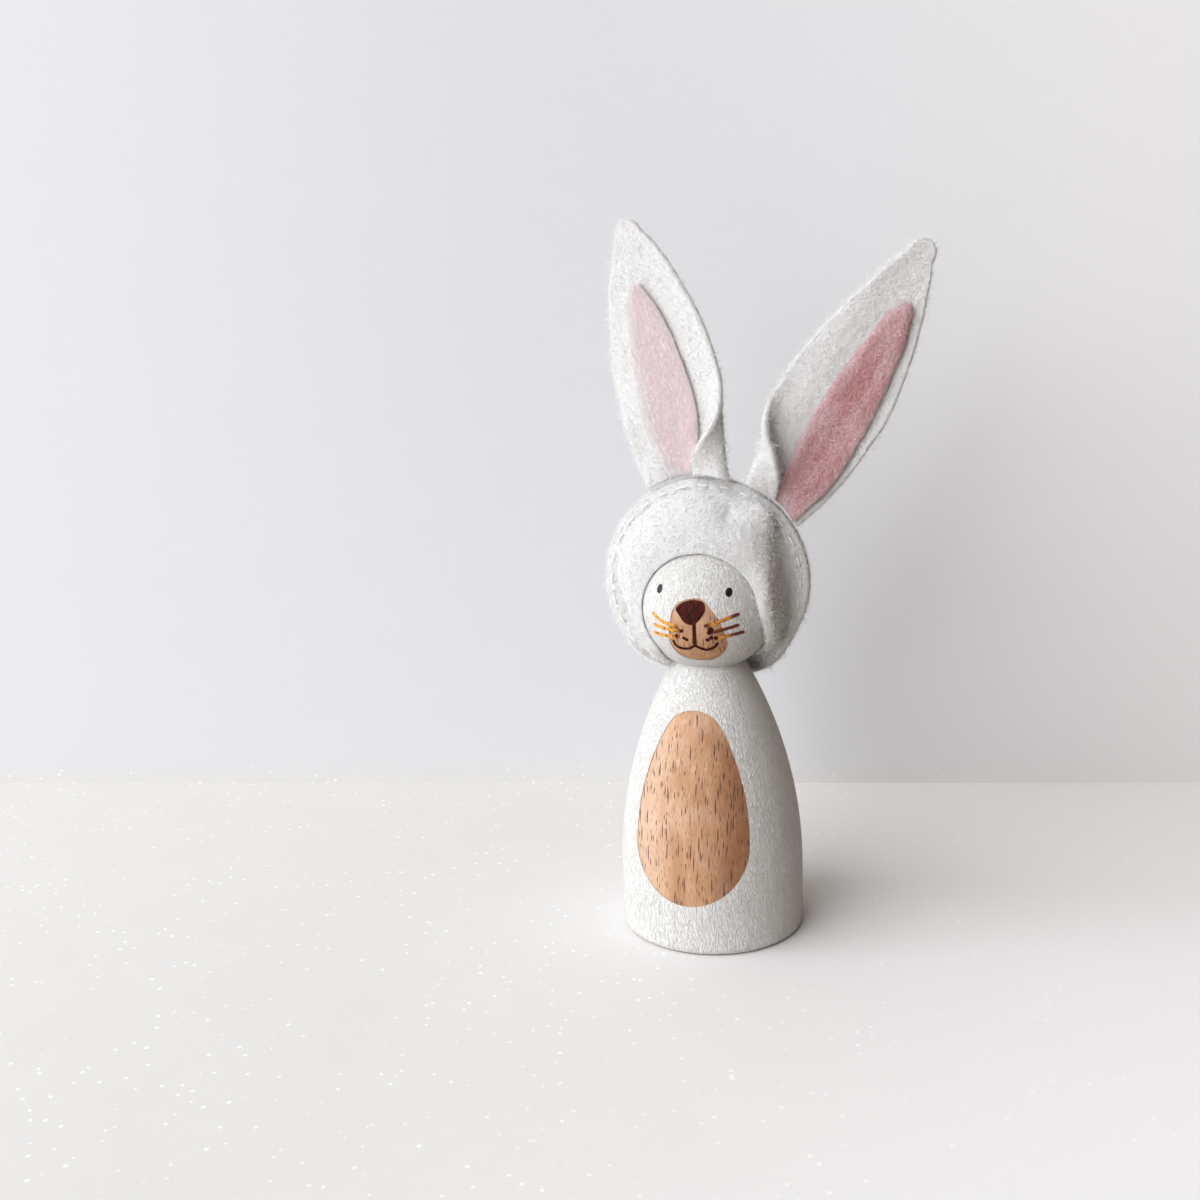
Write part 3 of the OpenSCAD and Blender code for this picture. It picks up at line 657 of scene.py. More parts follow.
def white_paint(colours):
    """Brush paint over raised grain: wrinkles that run up the peg, and crumbs."""
    f = Finish("white_paint", specular_ior_level=0.4)
    grain = f.noise(f.stretch(f.place(turn=(0, 8, 0)), (2.7, 2.7, 0.75)), 1.0, 3, 0.55, 0.9)
    ridge = f.band(f.apart(grain, 0.5), 0.0, 0.16, 1.0, 0.0)
    brush = f.noise(f.place((1.3, 1.3, 0.3)), 1.0, 2, 0.5, 0.8)
    crumb = f.noise(f.place(), 4.5, 2)
    # thin paint and painted shade: the troughs of the raised grain are painted browner, in patches
    thin_and_shaded_troughs = f.times(f.band(grain, 0.5, 0.3), f.band(f.noise(f.place(), 0.22, 2), 0.4, 0.62))
    paint = f.mix(f.band(brush, 0.35, 0.7), colours.paint, colours.paint_shade)
    paint = f.mix(f.times(thin_and_shaded_troughs, 0.22), paint, colours.paint_thin_and_shaded)
    height = f.sums("ADD", ridge, f.sums("ADD", grain, f.times(crumb, 0.3)))
    relief = f.bump(height, 0.16, f.bump(brush, 0.24))
    return f.cover(paint, f.band(brush, 0.3, 0.7, 0.42, 0.6), relief)


def wool(name, body, pale, dark, lean=None, deep=0.19, patch=0.28, fade=None):
    """Pressed wool: tangled fibres, matted patches, shade painted into the hollows of its relief, and a soft
    sheen.

    lean turns the way that its fibres are combed, deep is the depth of their relief, patch
    is the share of the matted patches, and fade is a colour and how far in from the cut
    edge its fibres reach.
    """
    f = Finish(name, roughness=0.92, specular_ior_level=0.12, sheen_weight=0.25, sheen_roughness=0.5)
    at = f.place() if lean is None else f.combed(lean)
    mat = f.noise(at, 0.3, 3)
    pit = f.noise(at, 1.7, 4, 0.74, 1.0)
    layers = []
    for size, turn in ((1.0, 0), (1.5, 55), (2.1, 110)):
        tangle = f.noise(f.place(turn=(turn, turn, turn)) if lean is None else at, size, 3, 0.6, 2.6)
        layers.append(f.band(f.apart(tangle, 0.5), 0.0, 0.035, 1.0, 0.0))
    thread = f.sums("MAXIMUM", f.sums("MAXIMUM", layers[0], layers[1]), layers[2])
    shade = f.mix(f.times(f.band(mat, 0.4, 0.65), patch), body, dark)
    # painted shade: the hollows of the felt's relief are painted darker
    shade = f.mix(f.times(f.band(pit, 0.46, 0.26), 0.75), shade, dark)
    shade = f.mix(f.times(thread, 0.6), shade, pale)
    if fade:
        edge = f.node("Attribute", attribute_name="fade").outputs["Fac"]
        reach = f.sums("ADD", edge, f.band(pit, 0.25, 0.75, 0.8 * fade[1], -0.8 * fade[1]))
        shade = f.mix(f.band(reach, fade[1], 0.1 * fade[1], 0.0, 0.9), shade, fade[0])
    chaff = f.times(f.band(f.cells(f.place(), 0.32), 0.07, 0.04), 0.3)
    shade = f.mix(chaff, shade, (0.35, 0.29, 0.24))
    relief = f.bump(f.sums("ADD", f.times(thread, 0.35), pit), deep, f.bump(mat, 0.2))
    return f.cover(shade, normal=relief)


def fibre(name, body, pale, dark=None, lean=0):
    """Loose fibres of two tones; dark is a third, in the matted patches of combed wool."""
    f = Finish(name, roughness=0.75, specular_ior_level=0.2, sheen_weight=0.3, sheen_roughness=0.5)
    shade = f.mix(f.noise(f.place(), 1.4, 2), body, pale)
    if dark is not None:
        patches = f.band(f.noise(f.combed(lean), 0.3, 3), 0.42, 0.6, 0.0, 0.9)
        shade = f.mix(patches, shade, dark)
    return f.cover(shade)


def thread_finish(colours):
    f = Finish("white_thread", roughness=0.6, specular_ior_level=0.3, sheen_weight=0.2)
    twist = f.noise(f.place((3, 3, 3)), 1.0, 2)
    return f.cover(f.mix(twist, colours.thread, colours.felt_dark), normal=f.bump(twist, 0.03))


def black_paint(colours):
    f = Finish("black_paint", specular_ior_level=0.25, coat_weight=0.07, coat_roughness=0.25)
    patch = f.noise(f.place(), 2.5, 2)
    shade = f.mix(patch, colours.eye, (0.022, 0.02, 0.02))
    return f.cover(shade, f.band(patch, 0.3, 0.7, 0.3, 0.5), f.bump(patch, 0.03))


def brown_ink(colours):
    """Marker ink: streaks of overlapping strokes, darker where the pen went twice."""
    f = Finish("brown_ink", specular_ior_level=0.08)
    streak = f.noise(f.place((4.2, 1, 1.1), (0, 12, 0)), 1.0, 3, 0.6)
    grain = f.noise(f.place((6, 6, 0.9)), 1.0, 2)
    ink = f.mix(f.band(streak, 0.38, 0.66), colours.ink_dark, colours.ink)
    ink = f.mix(f.times(f.band(grain, 0.5, 0.75), 0.4), ink, colours.ink_dark)
    return f.cover(ink, f.band(streak, 0.3, 0.7, 0.5, 0.7), f.bump(streak, 0.03))


def whisker_ink(name, colours, pale, ends, dark_row):
    """Brush strokes: gold where the paint is thin, brown at their ends and edges.

    ends are the places across the face, in millimetres, where a stroke is brown and where
    it is gold, for its near and its far end; dark_row is the height, slope and half width
    of a browner stroke.
    """
    f = Finish(name, specular_ior_level=0.25)
    x, _, z = f.split(f.place())
    wet = f.noise(f.place((1.6, 1, 2.6)), 1.0, 3, 0.6)
    run = f.sums("ADD", x, f.band(wet, 0.3, 0.7, -0.7, 0.7))
    near, far = f.band(run, ends[0], ends[1]), f.band(run, ends[3], ends[2])
    row = f.sums("SUBTRACT", z, f.times(f.sums("ABSOLUTE", x), dark_row[1]))
    other = f.band(f.apart(row, dark_row[0]), dark_row[2], dark_row[2] * 1.5)
    gold = f.times(f.times(f.times(near, far), other), f.band(wet, 0.66, 0.5))
    shade = f.mix(gold, colours.russet, pale)
    return f.cover(shade, f.band(wet, 0.3, 0.7, 0.4, 0.6), f.bump(wet, 0.04))


# Settings
def colour(name, text, default):
    return bpy.props.FloatVectorProperty(
        name=name, description=text, default=default, size=3, min=0, max=1, subtype="COLOR")


def length(name, text, default):
    return bpy.props.FloatProperty(
        name=name, description=text, default=default * MM, min=0, unit="LENGTH", subtype="DISTANCE")


class PegDollColours(bpy.types.PropertyGroup):
    beech: colour("Beech", "Fresh turned beech", (0.545, 0.32, 0.18))
    # also the painted highlight on the left side of the wood, where the window lights it
    beech_pale: colour("Pale beech", "Lighter clouds in the wood", (0.63, 0.47, 0.35))
    beech_dark: colour("Dark beech", "Late wood and end grain", (0.40, 0.20, 0.095))
    beech_fleck: colour("Beech fleck", "Rays and pores of the wood", (0.13, 0.045, 0.018))
    paint: colour("Paint", "White brush paint", (0.80, 0.80, 0.79))
    paint_shade: colour("Paint shade", "Where the paint is a little dirty", (0.76, 0.755, 0.735))
    # thin paint where wood shows through, and painted shade in the troughs of the grain
    paint_thin_and_shaded: colour("Thin paint", "Where wood shows through the paint", (0.66, 0.60, 0.52))
    felt: colour("White felt", "Body of the white felt", (0.95, 0.95, 0.945))
    felt_pale: colour("Pale fibre", "Lighter fibres on the felt", (0.99, 0.99, 0.985))
    # also the painted shade in the hollows of the white felt's relief
    felt_dark: colour("Dark felt", "Matted patches of the felt", (0.84, 0.835, 0.82))
    # painted light: the same pink felt as the right lining, painted paler where the window lights the left
    # ear
    lit_pink: colour("Left lining", "Body of the left ear's pink felt", (0.92, 0.69, 0.715))
    # painted shade: the same pink felt, painted darker and deeper where the right ear turns from the light
    pink: colour("Right lining", "Body of the right ear's pink felt", (0.87, 0.46, 0.475))
    pink_pale: colour("Pale pink fibre", "Lighter fibres on the pink felt", (0.95, 0.68, 0.70))
    # also the painted shade in the hollows of the right lining's relief
    pink_dark: colour("Dark pink felt", "Matted patches of the pink felt", (0.62, 0.25, 0.27))
    thread: colour("Thread", "White sewing thread", (0.88, 0.88, 0.87))
    eye: colour("Eye", "Black paint of the eyes", (0.008, 0.007, 0.007))
    ink: colour("Ink", "Dark brown ink of nose and mouth", (0.085, 0.013, 0.007))
    ink_dark: colour("Dark ink", "Ink where the pen went twice", (0.022, 0.006, 0.005))
    orange: colour("Orange", "Thin paint of the left whiskers", (0.72, 0.33, 0.04))
    gold: colour("Gold brown", "Thin paint of the right whiskers", (0.62, 0.26, 0.035))
    russet: colour("Russet", "Thick paint of the whiskers", (0.12, 0.025, 0.012))
    table: colour("Table", "Pale table top", (0.65, 0.65, 0.642))
    wall: colour("Wall", "Pale wall", (0.635, 0.65, 0.685))
    near: colour("Near", "Tone that the window side of the room throws back", (0.71, 0.69, 0.665))
    beyond: colour("Beyond", "Tone that the far side throws back", (0.27, 0.225, 0.18))


class PegDollSizes(bpy.types.PropertyGroup):
    step: length("Felt mesh", "Distance between two rows of points on the ears", 0.5)
    fuzz_short: length("Short fibre", "Shortest loose fibre", 0.5)
    fuzz_long: length("Long fibre", "Longest loose fibre", 2.1)
    dimple: length("Dimple", "Depth of the felt at the end of a stitch", 0.42)
    eye_dome: length("Eye dome", "How far the paint of an eye stands up", 0.08)


# Pieces
def settings(context):
    return context.scene.peg_doll_sizes, context.scene.peg_doll_colours


def carry(piece, body, *nodes, slot=None):
    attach(piece, body)
    if nodes:
        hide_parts(*nodes)
    return piece


class PEGDOLL_OT_wood(bpy.types.Operator):
    """Gives the turned peg its beech grain, rays and pores"""

    bl_idname = "pegdoll.wood"
    bl_label = "Beech peg"

    def execute(self, context):
        beech(settings(context)[1]).wear(frame["nodes"]["peg"])
        return {"FINISHED"}


class PEGDOLL_OT_paint(bpy.types.Operator):
    """Gives the coat of paint its brush marks over raised grain"""

    bl_idname = "pegdoll.paint"
    bl_label = "Coat of paint"

    def execute(self, context):
        white_paint(settings(context)[1]).wear(frame["nodes"]["paint_coat"])
        return {"FINISHED"}


class PEGDOLL_OT_face(bpy.types.Operator):
    """Makes the two domed eyes and inks the nose, mouth, dots and whiskers"""

    bl_idname = "pegdoll.face"
    bl_label = "Face"

    def execute(self, context):
        sizes, colours = settings(context)
        nodes = frame["nodes"]
        black = black_paint(colours)
        for name in ("left_eye", "right_eye"):
            black.wear(self.eye(name, sizes.eye_dome))
        brown_ink(colours).wear(nodes["nose"], nodes["mouth"], nodes["whisker_dots"])
        row = HEAD_Z - HEAD_R * 0.335
        whisker_ink("orange_paint", colours, colours.orange, (-2.9, -4.0, -8.6, -9.4),
                    (0, 0, 0.1)).wear(nodes["left_whiskers"])
        whisker_ink("russet_paint", colours, colours.gold, (2.6, 3.4, 6.0, 7.2),
                    (row, 0.27, 0.42)).wear(nodes["right_whiskers"])
        return {"FINISHED"}

    def eye(self, name, dome):
        """A drop of paint: a ball pressed flat on the head, its back cut away."""
        low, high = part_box(name)
        middle = (low + high) / 2
        half = (high - low) / 2
        out = (middle - Vector(HEAD_AT * MM)).normalized()
        deselect()
        bpy.ops.mesh.primitive_uv_sphere_add(segments=40, ring_count=24, radius=1)
        o = bpy.context.object
        o.name = name + "_drop"
        bpy.ops.object.mode_set(mode="EDIT")
        bpy.ops.mesh.select_all(action="SELECT")
        bpy.ops.transform.resize(value=(half.x * 1.02, dome * 1.5, half.z * 1.02))
        bpy.ops.mesh.bisect(plane_co=(0, -dome * 0.5, 0), plane_no=(0, 1, 0), use_fill=True,
                            clear_outer=True, threshold=1e-7)
        bpy.ops.object.mode_set(mode="OBJECT")
        turn = Vector((0, -1, 0)).rotation_difference(out).to_matrix().to_4x4()
        tilt = Matrix.Rotation(math.radians(EYE_TILT), 4, "Y")
        at = Vector(HEAD_AT * MM) + out * ((HEAD_R + COAT_T + 0.005) * MM - dome * 0.55)
        o.data.transform(Matrix.Translation(at) @ turn @ tilt)
        pick(o)
        bpy.ops.object.shade_smooth_by_angle(angle=math.radians(50))
        return carry(o, "peg", name, slot="black_paint")


class PEGDOLL_OT_hood(bpy.types.Operator):
    """Sews the hood: the front disc round the face, the back disc and their stitches"""

    bl_idname = "pegdoll.hood"
    bl_label = "Felt hood"

    def execute(self, context):
        sizes, colours = settings(context)
        felt = wool("white_felt", colours.felt, colours.felt_pale, colours.felt_dark)
        loose = fibre("white_fibre", colours.felt, colours.felt_pale)
        short, long, dimple = sizes.fuzz_short / MM, sizes.fuzz_long / MM, sizes.dimple / MM
        for name, make, seed, across, area in (("hood_front", self.front, 11, 0.046, 0.0016),
                                               ("hood_back", self.back, 12, 0.054, 0.0022)):
            disc, edge = make(dimple)
            felt.wear(disc)
            carry(disc, "hood", name, slot="white_felt")
            fuzz = strands(name + "_fuzz", disc, edge, FIBRES, short, long, seed, face=disc["outer"])
            loose.wear(carry(fuzz, "hood", slot="white_felt"))
        stitches = self.stitches()
        thread_finish(colours).wear(stitches)
        carry(stitches, "hood", "hood_thread", slot="white_thread")
        return {"FINISHED"}

    def dents(self, u, a, shift, depth):
        """Where the thread pulls the felt in, at both ends of every stitch."""
        pitch = 360 / STITCHES
        k = (a - shift * pitch + 180) / pitch
        near = np.abs(k - np.round(k)) * pitch
        ends = bell(near - np.degrees(STITCH_LEN * 0.5 / RIM_R), 1.7)
        return -depth * (0.12 + 0.88 * ends) * bell(u - STITCH_U, 0.05)

    def front(self, dimple):
        """The disc with the face opening; its rows crowd towards the opening and the rim."""
        a = np.linspace(-180, 180, FRONT_COLUMNS, endpoint=False)[None, :]
        near = np.array([0, 0.05, 0.12, 0.24, 0.42])
        u = np.concatenate([near / 18, np.linspace(0.04, 0.955, 58), 1 - near[::-1] / 15])[:, None]
        uu, aa = np.broadcast_arrays(u, a)
        mid = front_mid(uu, aa)
        relief = self.dents(uu, aa, 0, dimple) + self.folds(uu, aa)
        mid = off_peg(mid + outward(mid, True) * relief[..., None], tuck_at(uu, aa))
        run = np.linalg.norm(np.diff(mid, axis=0), axis=-1)
        from_open = np.concatenate([np.zeros((1, FRONT_COLUMNS)), np.cumsum(run, 0)])
        far = np.minimum(from_open, from_open[-1:] - from_open)
        flat = np.maximum(smooth((uu - FLANGE_SHARE) / 0.04), 1 - smooth((uu - 0.02) / 0.08))
        # the face that looks at the other disc, told by a row near the rim
        inside = -1 if (grid_normals(mid, True)[-3] * rim_normal(aa)[-3]).sum() < 0 else 1
        piece, edge = felt_piece("hood_front_felt", mid, far, lip(uu, aa), True, 3.1, seam=(inside, flat))
        piece["outer"] = -inside
        return piece, edge

    def folds(self, u, a):
        """Slack of the front disc: a crease on the forehead and a roll by the cheek."""
        crease = -0.8 * bell(a - 19, 7) * smooth((0.75 - u) / 0.3) * smooth((u - 0.15) / 0.25)
        bulge = 1.6 * bell(a - 40, 11) * bell(u - 0.64, 0.2)
        g = right_share(a) * smooth((132 - a) / 35)
        low = 1.1 * bell(a - 132, 16) * bell(u - 0.45, 0.22)
        roll = 0.95 * g * bell(u - 0.11, 0.11)
        hollow = -1.2 * g * bell(u - 0.52, 0.2)
        pucker = -sum(deep * bell(a - at, wide) for at, wide, deep in PUCKERS)
        return crease + bulge + roll + hollow + low + pucker * bell(u - 0.76, 0.12)

    def back(self, dimple):
        """The whole disc, from a square grid that is pressed round."""
        # points crowd towards the rim, where the felt bends and is stitched
        line = np.linspace(-1, 1, BACK_LINES)
        line = np.sign(line) * (1 - (1 - np.abs(line)) ** 1.12)
        x, y = np.meshgrid(line, line, indexing="ij")
        u = np.maximum(np.abs(x), np.abs(y))
        wide = np.abs(x) >= np.abs(y)
        safe = np.maximum(u, 1e-9)
        turn = np.where(wide, np.where(x > 0, 45 * y / safe, 180 - 45 * y / safe),
                        np.where(y > 0, 90 - 45 * x / safe, 270 + 45 * x / safe))
        a = (turn + 180) % 360 - 180
        mid = back_mid(u, a)
        mid = off_peg(mid + outward(mid, False) * self.dents(u, a, 0.5, dimple)[..., None])
        far = (1 - u) * FLANGE_W / (1 - FLANGE_SHARE)
        flat = smooth((u - FLANGE_SHARE) / 0.04)
        # the face that looks at the other disc, told by a point near the rim
        inside = 1 if (grid_normals(mid, False)[2, 70] * rim_normal(a)[2, 70]).sum() < 0 else -1
        piece, edge = felt_piece("hood_back_felt", mid, far, HALF_T, False, 7.7, seam=(inside, flat))
        piece["outer"] = -inside
        return piece, edge

    def stitches(self):
        """One stitch is modelled as two twisted plies, and copied round both discs."""
        plies = []
        for phase in (0, math.pi):
            path = [self.ply(k / 14, phase) for k in range(15)]
            deselect()
            bpy.ops.mesh.primitive_circle_add(
                vertices=6, radius=THREAD_D * 0.27 * MM, fill_type="NGON",
                location=path[0], rotation=(0, math.pi / 2, 0))
            o = bpy.context.object
            bpy.ops.object.transform_apply(location=True, rotation=True, scale=True)
            bpy.ops.object.mode_set(mode="EDIT")
            bpy.ops.mesh.select_all(action="SELECT")
            for p, q in zip(path, path[1:]):
                bpy.ops.mesh.extrude_region_move(TRANSFORM_OT_translate={"value": q - p})
            turn_out()
            plies.append(o)
        one = join(plies)
        copies = []
        for i in range(STITCHES):
            for back in (False, True):
                a = np.array(-180 + 360 * (i + (0.5 if back else 0)) / STITCHES)
                mid = back_mid if back else front_mid
                u = np.array(STITCH_U)
                p, pa, pu = mid(u, a), mid(u, a + 1), mid(u + 0.02, a)
                t = unit(pa - p)
                n = unit(np.cross(pu - p, t)) * (1 if back else -1)
                at = (p + n * (HALF_T * 0.97 + 0.02)) * MM
                copy = one.copy()
                copy.data = one.data.copy()
                copy.data.transform(placed((t, np.cross(n, t), n), at))
                bpy.context.scene.collection.objects.link(copy)
                copies.append(copy)
        bpy.data.objects.remove(one)
        o = join(copies)
        o.name = o.data.name = "hood_stitches"
        bpy.ops.object.shade_smooth()
        return o

    def ply(self, s, phase):
        """A point of one ply: an arch over the felt that dives in at both ends."""
        x = (s - 0.5) * STITCH_LEN
        arch = (1 - (2 * s - 1) ** 4) * THREAD_D * 0.55 - THREAD_D * 0.5
        twist = phase + s * 2 * math.pi * 2.2
        r = THREAD_D * 0.21
        return Vector((x, r * math.cos(twist), arch + r * math.sin(twist))) * MM


class PEGDOLL_OT_ears(bpy.types.Operator):
    """Cuts and pleats the two long ears and glues their pink linings on"""

    bl_idname = "pegdoll.ears"
    bl_label = "Ears"

    def execute(self, context):
        sizes, colours = settings(context)
        felt = wool("ear_felt", colours.felt, colours.felt_pale, colours.felt_dark, deep=0.17, patch=0.25)
        # the two linings are one pink felt, painted lighter on the lit left ear and darker on the shaded
        # right ear
        pinks = {"left_ear": wool("lit_pink_felt", colours.lit_pink, colours.felt_pale, colours.pink_pale,
                                  14.4, 0.28, 0.5, (colours.felt, 2.4)),
                 "right_ear": wool("pink_felt", colours.pink, colours.pink_pale, colours.pink_dark,
                                   -30, 0.4, 0.95, (colours.lit_pink, 2.0))}
        loose = fibre("ear_fibre", colours.felt, colours.felt_pale)
        downs = {"left_ear": fibre("lit_pink_fibre", colours.lit_pink, colours.felt),
                 "right_ear": fibre("pink_fibre", colours.pink_pale, colours.lit_pink, colours.pink, -30)}
        short, long, step = sizes.fuzz_short / MM, sizes.fuzz_long / MM, sizes.step / MM
        for name, c, seed in (("left_ear", LEFT_EAR, 21), ("right_ear", RIGHT_EAR, 31)):
            ear, edge = self.ear(name, c, step, seed)
            felt.wear(ear)
            fuzz = strands(name + "_fuzz", ear, edge, FIBRES, short, long, seed, rim=3.5)
            loose.wear(fuzz)
            lining, edge = self.lining(name, c, step, seed)
            pinks[name].wear(lining)
            down = strands(name + "_lining_fuzz", lining, edge, LINING_FIBRES, short, long * 0.7,
                           seed + 1, rim=0.6, face=1)
            downs[name].wear(down)
            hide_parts(name)
            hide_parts(name + "_lining")
            for o, slot in ((ear, "white_felt"), (fuzz, "white_felt"),
                            (lining, "pink_felt"), (down, "pink_felt")):
                self.hinge(o, name, c)
        return {"FINISHED"}

    def hinge(self, o, name, c):
        """Bakes the piece's place into its mesh. The felt bends at its root, between the hood and the free
        part of the ear; no joint is made for that here.
        """
        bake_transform(o)

    def ear(self, name, c, step, seed):
        tt, qq = felt_grid(c.length, step, (0, 0.006, 0.014, 0.03, 0.055), 0.92, 52)
        wave = lumps(vec(tt * c.length, 7 * np.sign(qq), 0 * tt), 4.5, seed)
        out = out_width(c, tt) + 0.22 * wave
        inn = in_width(c, tt) + 0.22 * wave
        s = np.where(qq < 0, qq * out, qq * inn)
        mid = ear_at(c, tt, s)
        normal = grid_normals(mid, False)
        mid = mid + normal * (0.14 * lumps(mid, 7, seed))[..., None]
        side = np.where(qq < 0, out + s, inn - s)
        far = np.minimum(side, np.minimum(tt, 1 - tt) * c.length + 0.15)
        return felt_piece(name + "_felt", mid, far, HALF_T * 0.97, False, seed + 0.3)

    def lining(self, name, c, step, seed):
        long = c.length * c.pink_end
        tt, qq = felt_grid(long, step, (0, 0.012, 0.03, 0.06, 0.1), 0.86, 26)
        wave = lumps(vec(tt * long, 5 * np.sign(qq), 0 * tt), 3.5, seed + 4)
        width = pink_width(tt) + 0.3 * wave
        low = bell(tt - 0.25, 0.3)
        # the pink reaches farther down one side of each ear
        width = width + (1.7 * bell(tt - 0.45, 0.4) * (qq > 0) if c.side < 0 else 0.4 * low * (qq < 0))
        s = c.pink_shift + qq * width
        up = HALF_T + GLUE_GAP + PINK_T / 2
        mid = ear_at(c, c.pink_end * tt, s, up)
        far = np.minimum((1 - np.abs(qq)) * width, np.minimum(tt, 1 - tt) * long)
        piece, edge = felt_piece(name + "_lining_felt", mid, far, PINK_T / 2 * 0.95, False,
                                 seed + 2.6, 0.05, soft=(1.5, 0.06))
        # the edge towards the window is drawn out into the white felt, and on the right ear into the painted
        # lighter pink
        fade = far + (1.6 if c.side < 0 else 1.0) * smooth(0.5 + 0.9 * qq * -c.side)
        # and the root of the right one is paler
        if c.side > 0:
            fade = fade - 1.8 * bell(tt - 0.08, 0.2)
        attribute = piece.data.attributes.new("fade", "FLOAT", "POINT")
        attribute.data.foreach_set("value", np.tile(fade.reshape(-1), 2))
        return piece, edge


# Stage
# The camera: degrees round the doll, millimetres away and up, radians, and the focal
# length and the line between table and wall in pixels of the 1200 by 1200 picture
CAMERA = {"azimuth": 12.0, "far": 256.9, "high": 122.2, "pan": 0.0816, "pitch": 0.2136,
          "roll": -0.0342, "focal": 1350.0}
PICTURE, WALL_LINE, SENSOR = 1200, 783.0, 36.0
# Table and wall, in metres
TABLE_WIDE, TABLE_DEEP, WALL_HIGH = 4.0, 1.8, 2.0
# Light: the tint of the windows, the warm room that fills the shadows and its strength,
# and what the camera sees of that room
DAYLIGHT = (0.985, 1.0, 1.03)
WARM_ROOM, PALE_ROOM = ((1.0, 0.80, 0.61, 1), 0.155), (0.80, 0.81, 0.83, 1)


def camera_axes():
    az, pan = math.radians(CAMERA["azimuth"]), CAMERA["pan"]
    right = Vector((math.cos(az + pan), math.sin(az + pan), 0))
    ahead = Vector((-math.sin(az + pan), math.cos(az + pan), 0))
    ahead = ahead * math.cos(CAMERA["pitch"]) - Vector((0, 0, math.sin(CAMERA["pitch"])))
    up = right.cross(ahead)
    r = CAMERA["roll"]
    x = math.cos(r) * right + math.sin(r) * up
    y = -math.sin(r) * right + math.cos(r) * up
    at = Vector((CAMERA["far"] * math.sin(az), -CAMERA["far"] * math.cos(az), CAMERA["high"])) * MM
    return at, x, y, -ahead


def on_table(px, py):
    """The point of the table that a pixel of the picture shows."""
    at, x, y, z = camera_axes()
    way = x * (px - PICTURE / 2) / CAMERA["focal"] - y * (py - PICTURE / 2) / CAMERA["focal"] - z
    return at - way * (at.z / way.z)


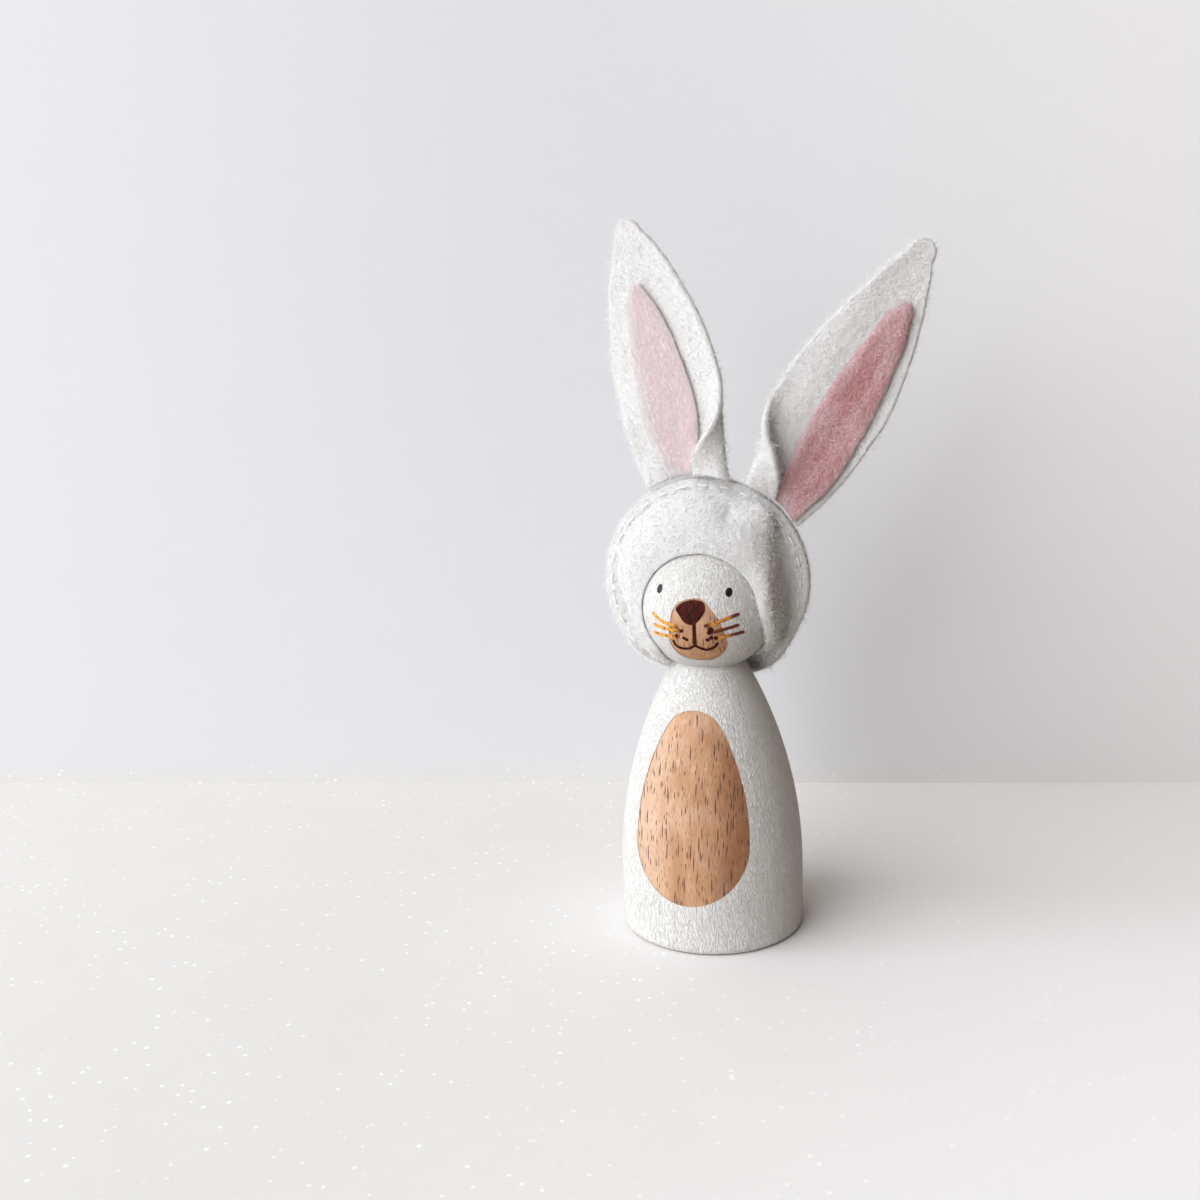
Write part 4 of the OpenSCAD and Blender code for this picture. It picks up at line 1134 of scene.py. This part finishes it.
class PEGDOLL_OT_stage(bpy.types.Operator):
    """Sets the table and wall, the soft lamps and the camera"""

    bl_idname = "pegdoll.stage"
    bl_label = "Stage"

    def execute(self, context):
        colours = settings(context)[1]
        self.ground(colours)
        self.lamps(context)
        self.camera(context)
        context.scene.view_settings.view_transform = "Standard"
        return {"FINISHED"}

    def ground(self, colours):
        """A table top whose far edge is turned up into the wall, with a crisp corner."""
        a, b = on_table(0, WALL_LINE), on_table(PICTURE, WALL_LINE)
        along = (b - a).normalized()
        away = Vector((-along.y, along.x, 0))
        middle = (a + b) / 2 - away * (TABLE_DEEP / 2)
        deselect()
        bpy.ops.mesh.primitive_plane_add(size=1)
        o = bpy.context.object
        o.name = "table_and_wall"
        turn = math.atan2(along.y, along.x)
        o.data.transform(Matrix.Translation(middle) @ Matrix.Rotation(turn, 4, "Z")
                         @ Matrix.Diagonal((TABLE_WIDE, TABLE_DEEP, 1.0, 1.0)))
        bpy.ops.object.mode_set(mode="EDIT")
        bpy.ops.mesh.select_mode(type="EDGE")
        bpy.ops.mesh.select_all(action="DESELECT")
        bpy.ops.object.mode_set(mode="OBJECT")
        points = o.data.vertices
        far = max(o.data.edges, key=lambda e: sum((points[v].co - middle).dot(away) for v in e.vertices))
        far.select = True
        for v in far.vertices:
            points[v].select = True
        bpy.ops.object.mode_set(mode="EDIT")
        bpy.ops.mesh.extrude_region_move(TRANSFORM_OT_translate={"value": (0, 0, WALL_HIGH)})
        turn_out()
        if max(p.normal.z for p in o.data.polygons) < 0.5:
            o.data.flip_normals()
        f = Finish("pale_ground", roughness=0.7, specular_ior_level=0.2)
        at = f.place()
        x, _, z = f.split(at)
        speck = f.band(f.cells(at, 0.35), 0.16, 0.1)
        table = f.mix(f.times(speck, 0.7), colours.table, (0.93, 0.93, 0.92))
        table = f.mix(f.band(f.noise(at, 0.05, 3), 0.4, 0.7), table, tuple(0.985 * v for v in colours.table))
        ground = f.mix(f.band(z, 0.5, 8.0), table, colours.wall)
        # painted light: the ground is painted a little paler towards the right, where the window's light
        # falls off
        ground = f.mix(f.band(x, -80, 140, 0.0, 0.9), ground, (0.87, 0.87, 0.885))
        # the camera sees pale ground; the light that it throws back on the doll is dimmer
        path = f.node("LightPath").outputs
        seen = f.sums("ADD", path["Is Camera Ray"], path["Is Glossy Ray"], clamp=True)
        bounce = f.mix(f.band(x, -20, 90, 0.0, 1.0), colours.near, colours.beyond)
        f.cover(f.mix(seen, bounce, ground), normal=f.bump(f.noise(at, 1.2, 3), 0.02))
        # from behind, the wall lets the camera see the doll
        clear = f.node("MixShader", f.node("NewGeometry").outputs["Backfacing"],
                       f.shader.outputs[0], f.node("BsdfTransparent").outputs[0])
        f.put(f.nodes["Material Output"].inputs["Surface"], clear.outputs[0])
        f.wear(o)

    def lamps(self, context):
        """One big soft window from the left and a pale room all round."""
        centre = Vector((0, 0, 0.07))
        # degrees round the doll and up, metres away, metres wide and high, watts
        for name, azimuth, height, away, size, power, tint in (
                ("window", -44, 30, 2.0, (3.0, 2.0), 78.0, DAYLIGHT),
                ("high_window", -50, 66, 2.0, (1.3, 1.3), 8.0, DAYLIGHT)):
            a, e = math.radians(azimuth), math.radians(height)
            way = Vector((math.sin(a) * math.cos(e), -math.cos(a) * math.cos(e), math.sin(e)))
            bpy.ops.object.light_add(type="AREA", location=centre + way * away)
            lamp = context.object
            lamp.name = name
            lamp.rotation_euler = (-way).to_track_quat("-Z", "Y").to_euler()
            lamp.data.shape = "RECTANGLE"
            lamp.data.size, lamp.data.size_y = size
            lamp.data.energy = power
            lamp.data.color = tint
        world = bpy.data.worlds.new("pale_room")
        world.use_nodes = True
        context.scene.world = world
        nodes, links = world.node_tree.nodes, world.node_tree.links
        room = nodes["Background"]
        room.inputs["Color"].default_value, room.inputs["Strength"].default_value = WARM_ROOM
        pale, either = nodes.new("ShaderNodeBackground"), nodes.new("ShaderNodeMixShader")
        pale.inputs["Color"].default_value = PALE_ROOM
        links.new(nodes.new("ShaderNodeLightPath").outputs["Is Camera Ray"], either.inputs[0])
        links.new(room.outputs[0], either.inputs[1])
        links.new(pale.outputs[0], either.inputs[2])
        links.new(either.outputs[0], nodes["World Output"].inputs["Surface"])

    def camera(self, context):
        at, x, y, z = camera_axes()
        data = bpy.data.cameras.new("photo_camera")
        data.sensor_width = SENSOR
        data.lens = SENSOR * CAMERA["focal"] / PICTURE
        data.clip_start, data.clip_end = 0.005, 20.0
        o = bpy.data.objects.new("photo_camera", data)
        context.scene.collection.objects.link(o)
        o.matrix_world = placed((x, y, z), at)
        context.scene.camera = o


STEPS = (PEGDOLL_OT_wood, PEGDOLL_OT_paint, PEGDOLL_OT_face, PEGDOLL_OT_hood,
         PEGDOLL_OT_ears, PEGDOLL_OT_stage)


class PEGDOLL_PT_panel(bpy.types.Panel):
    """Lists the steps that dress the doll, with its sizes and colours"""

    bl_idname = "PEGDOLL_PT_panel"
    bl_label = "Peg doll"
    bl_space_type = "VIEW_3D"
    bl_region_type = "UI"
    bl_category = "Peg doll"

    def draw(self, context):
        for step in STEPS:
            self.layout.operator(step.bl_idname)
        for group in settings(context):
            box = self.layout.box()
            for key in group.__annotations__:
                box.prop(group, key)


CLASSES = (PegDollColours, PegDollSizes, *STEPS, PEGDOLL_PT_panel)


def register():
    for c in CLASSES:
        bpy.utils.register_class(c)
    bpy.types.Scene.peg_doll_colours = bpy.props.PointerProperty(type=PegDollColours)
    bpy.types.Scene.peg_doll_sizes = bpy.props.PointerProperty(type=PegDollSizes)


def unregister():
    del bpy.types.Scene.peg_doll_sizes
    del bpy.types.Scene.peg_doll_colours
    for c in reversed(CLASSES):
        bpy.utils.unregister_class(c)


def main():
    register()
    for step in STEPS:
        area, name = step.bl_idname.split(".")
        getattr(getattr(bpy.ops, area), name)()


if __name__ == "__main__":
    main()
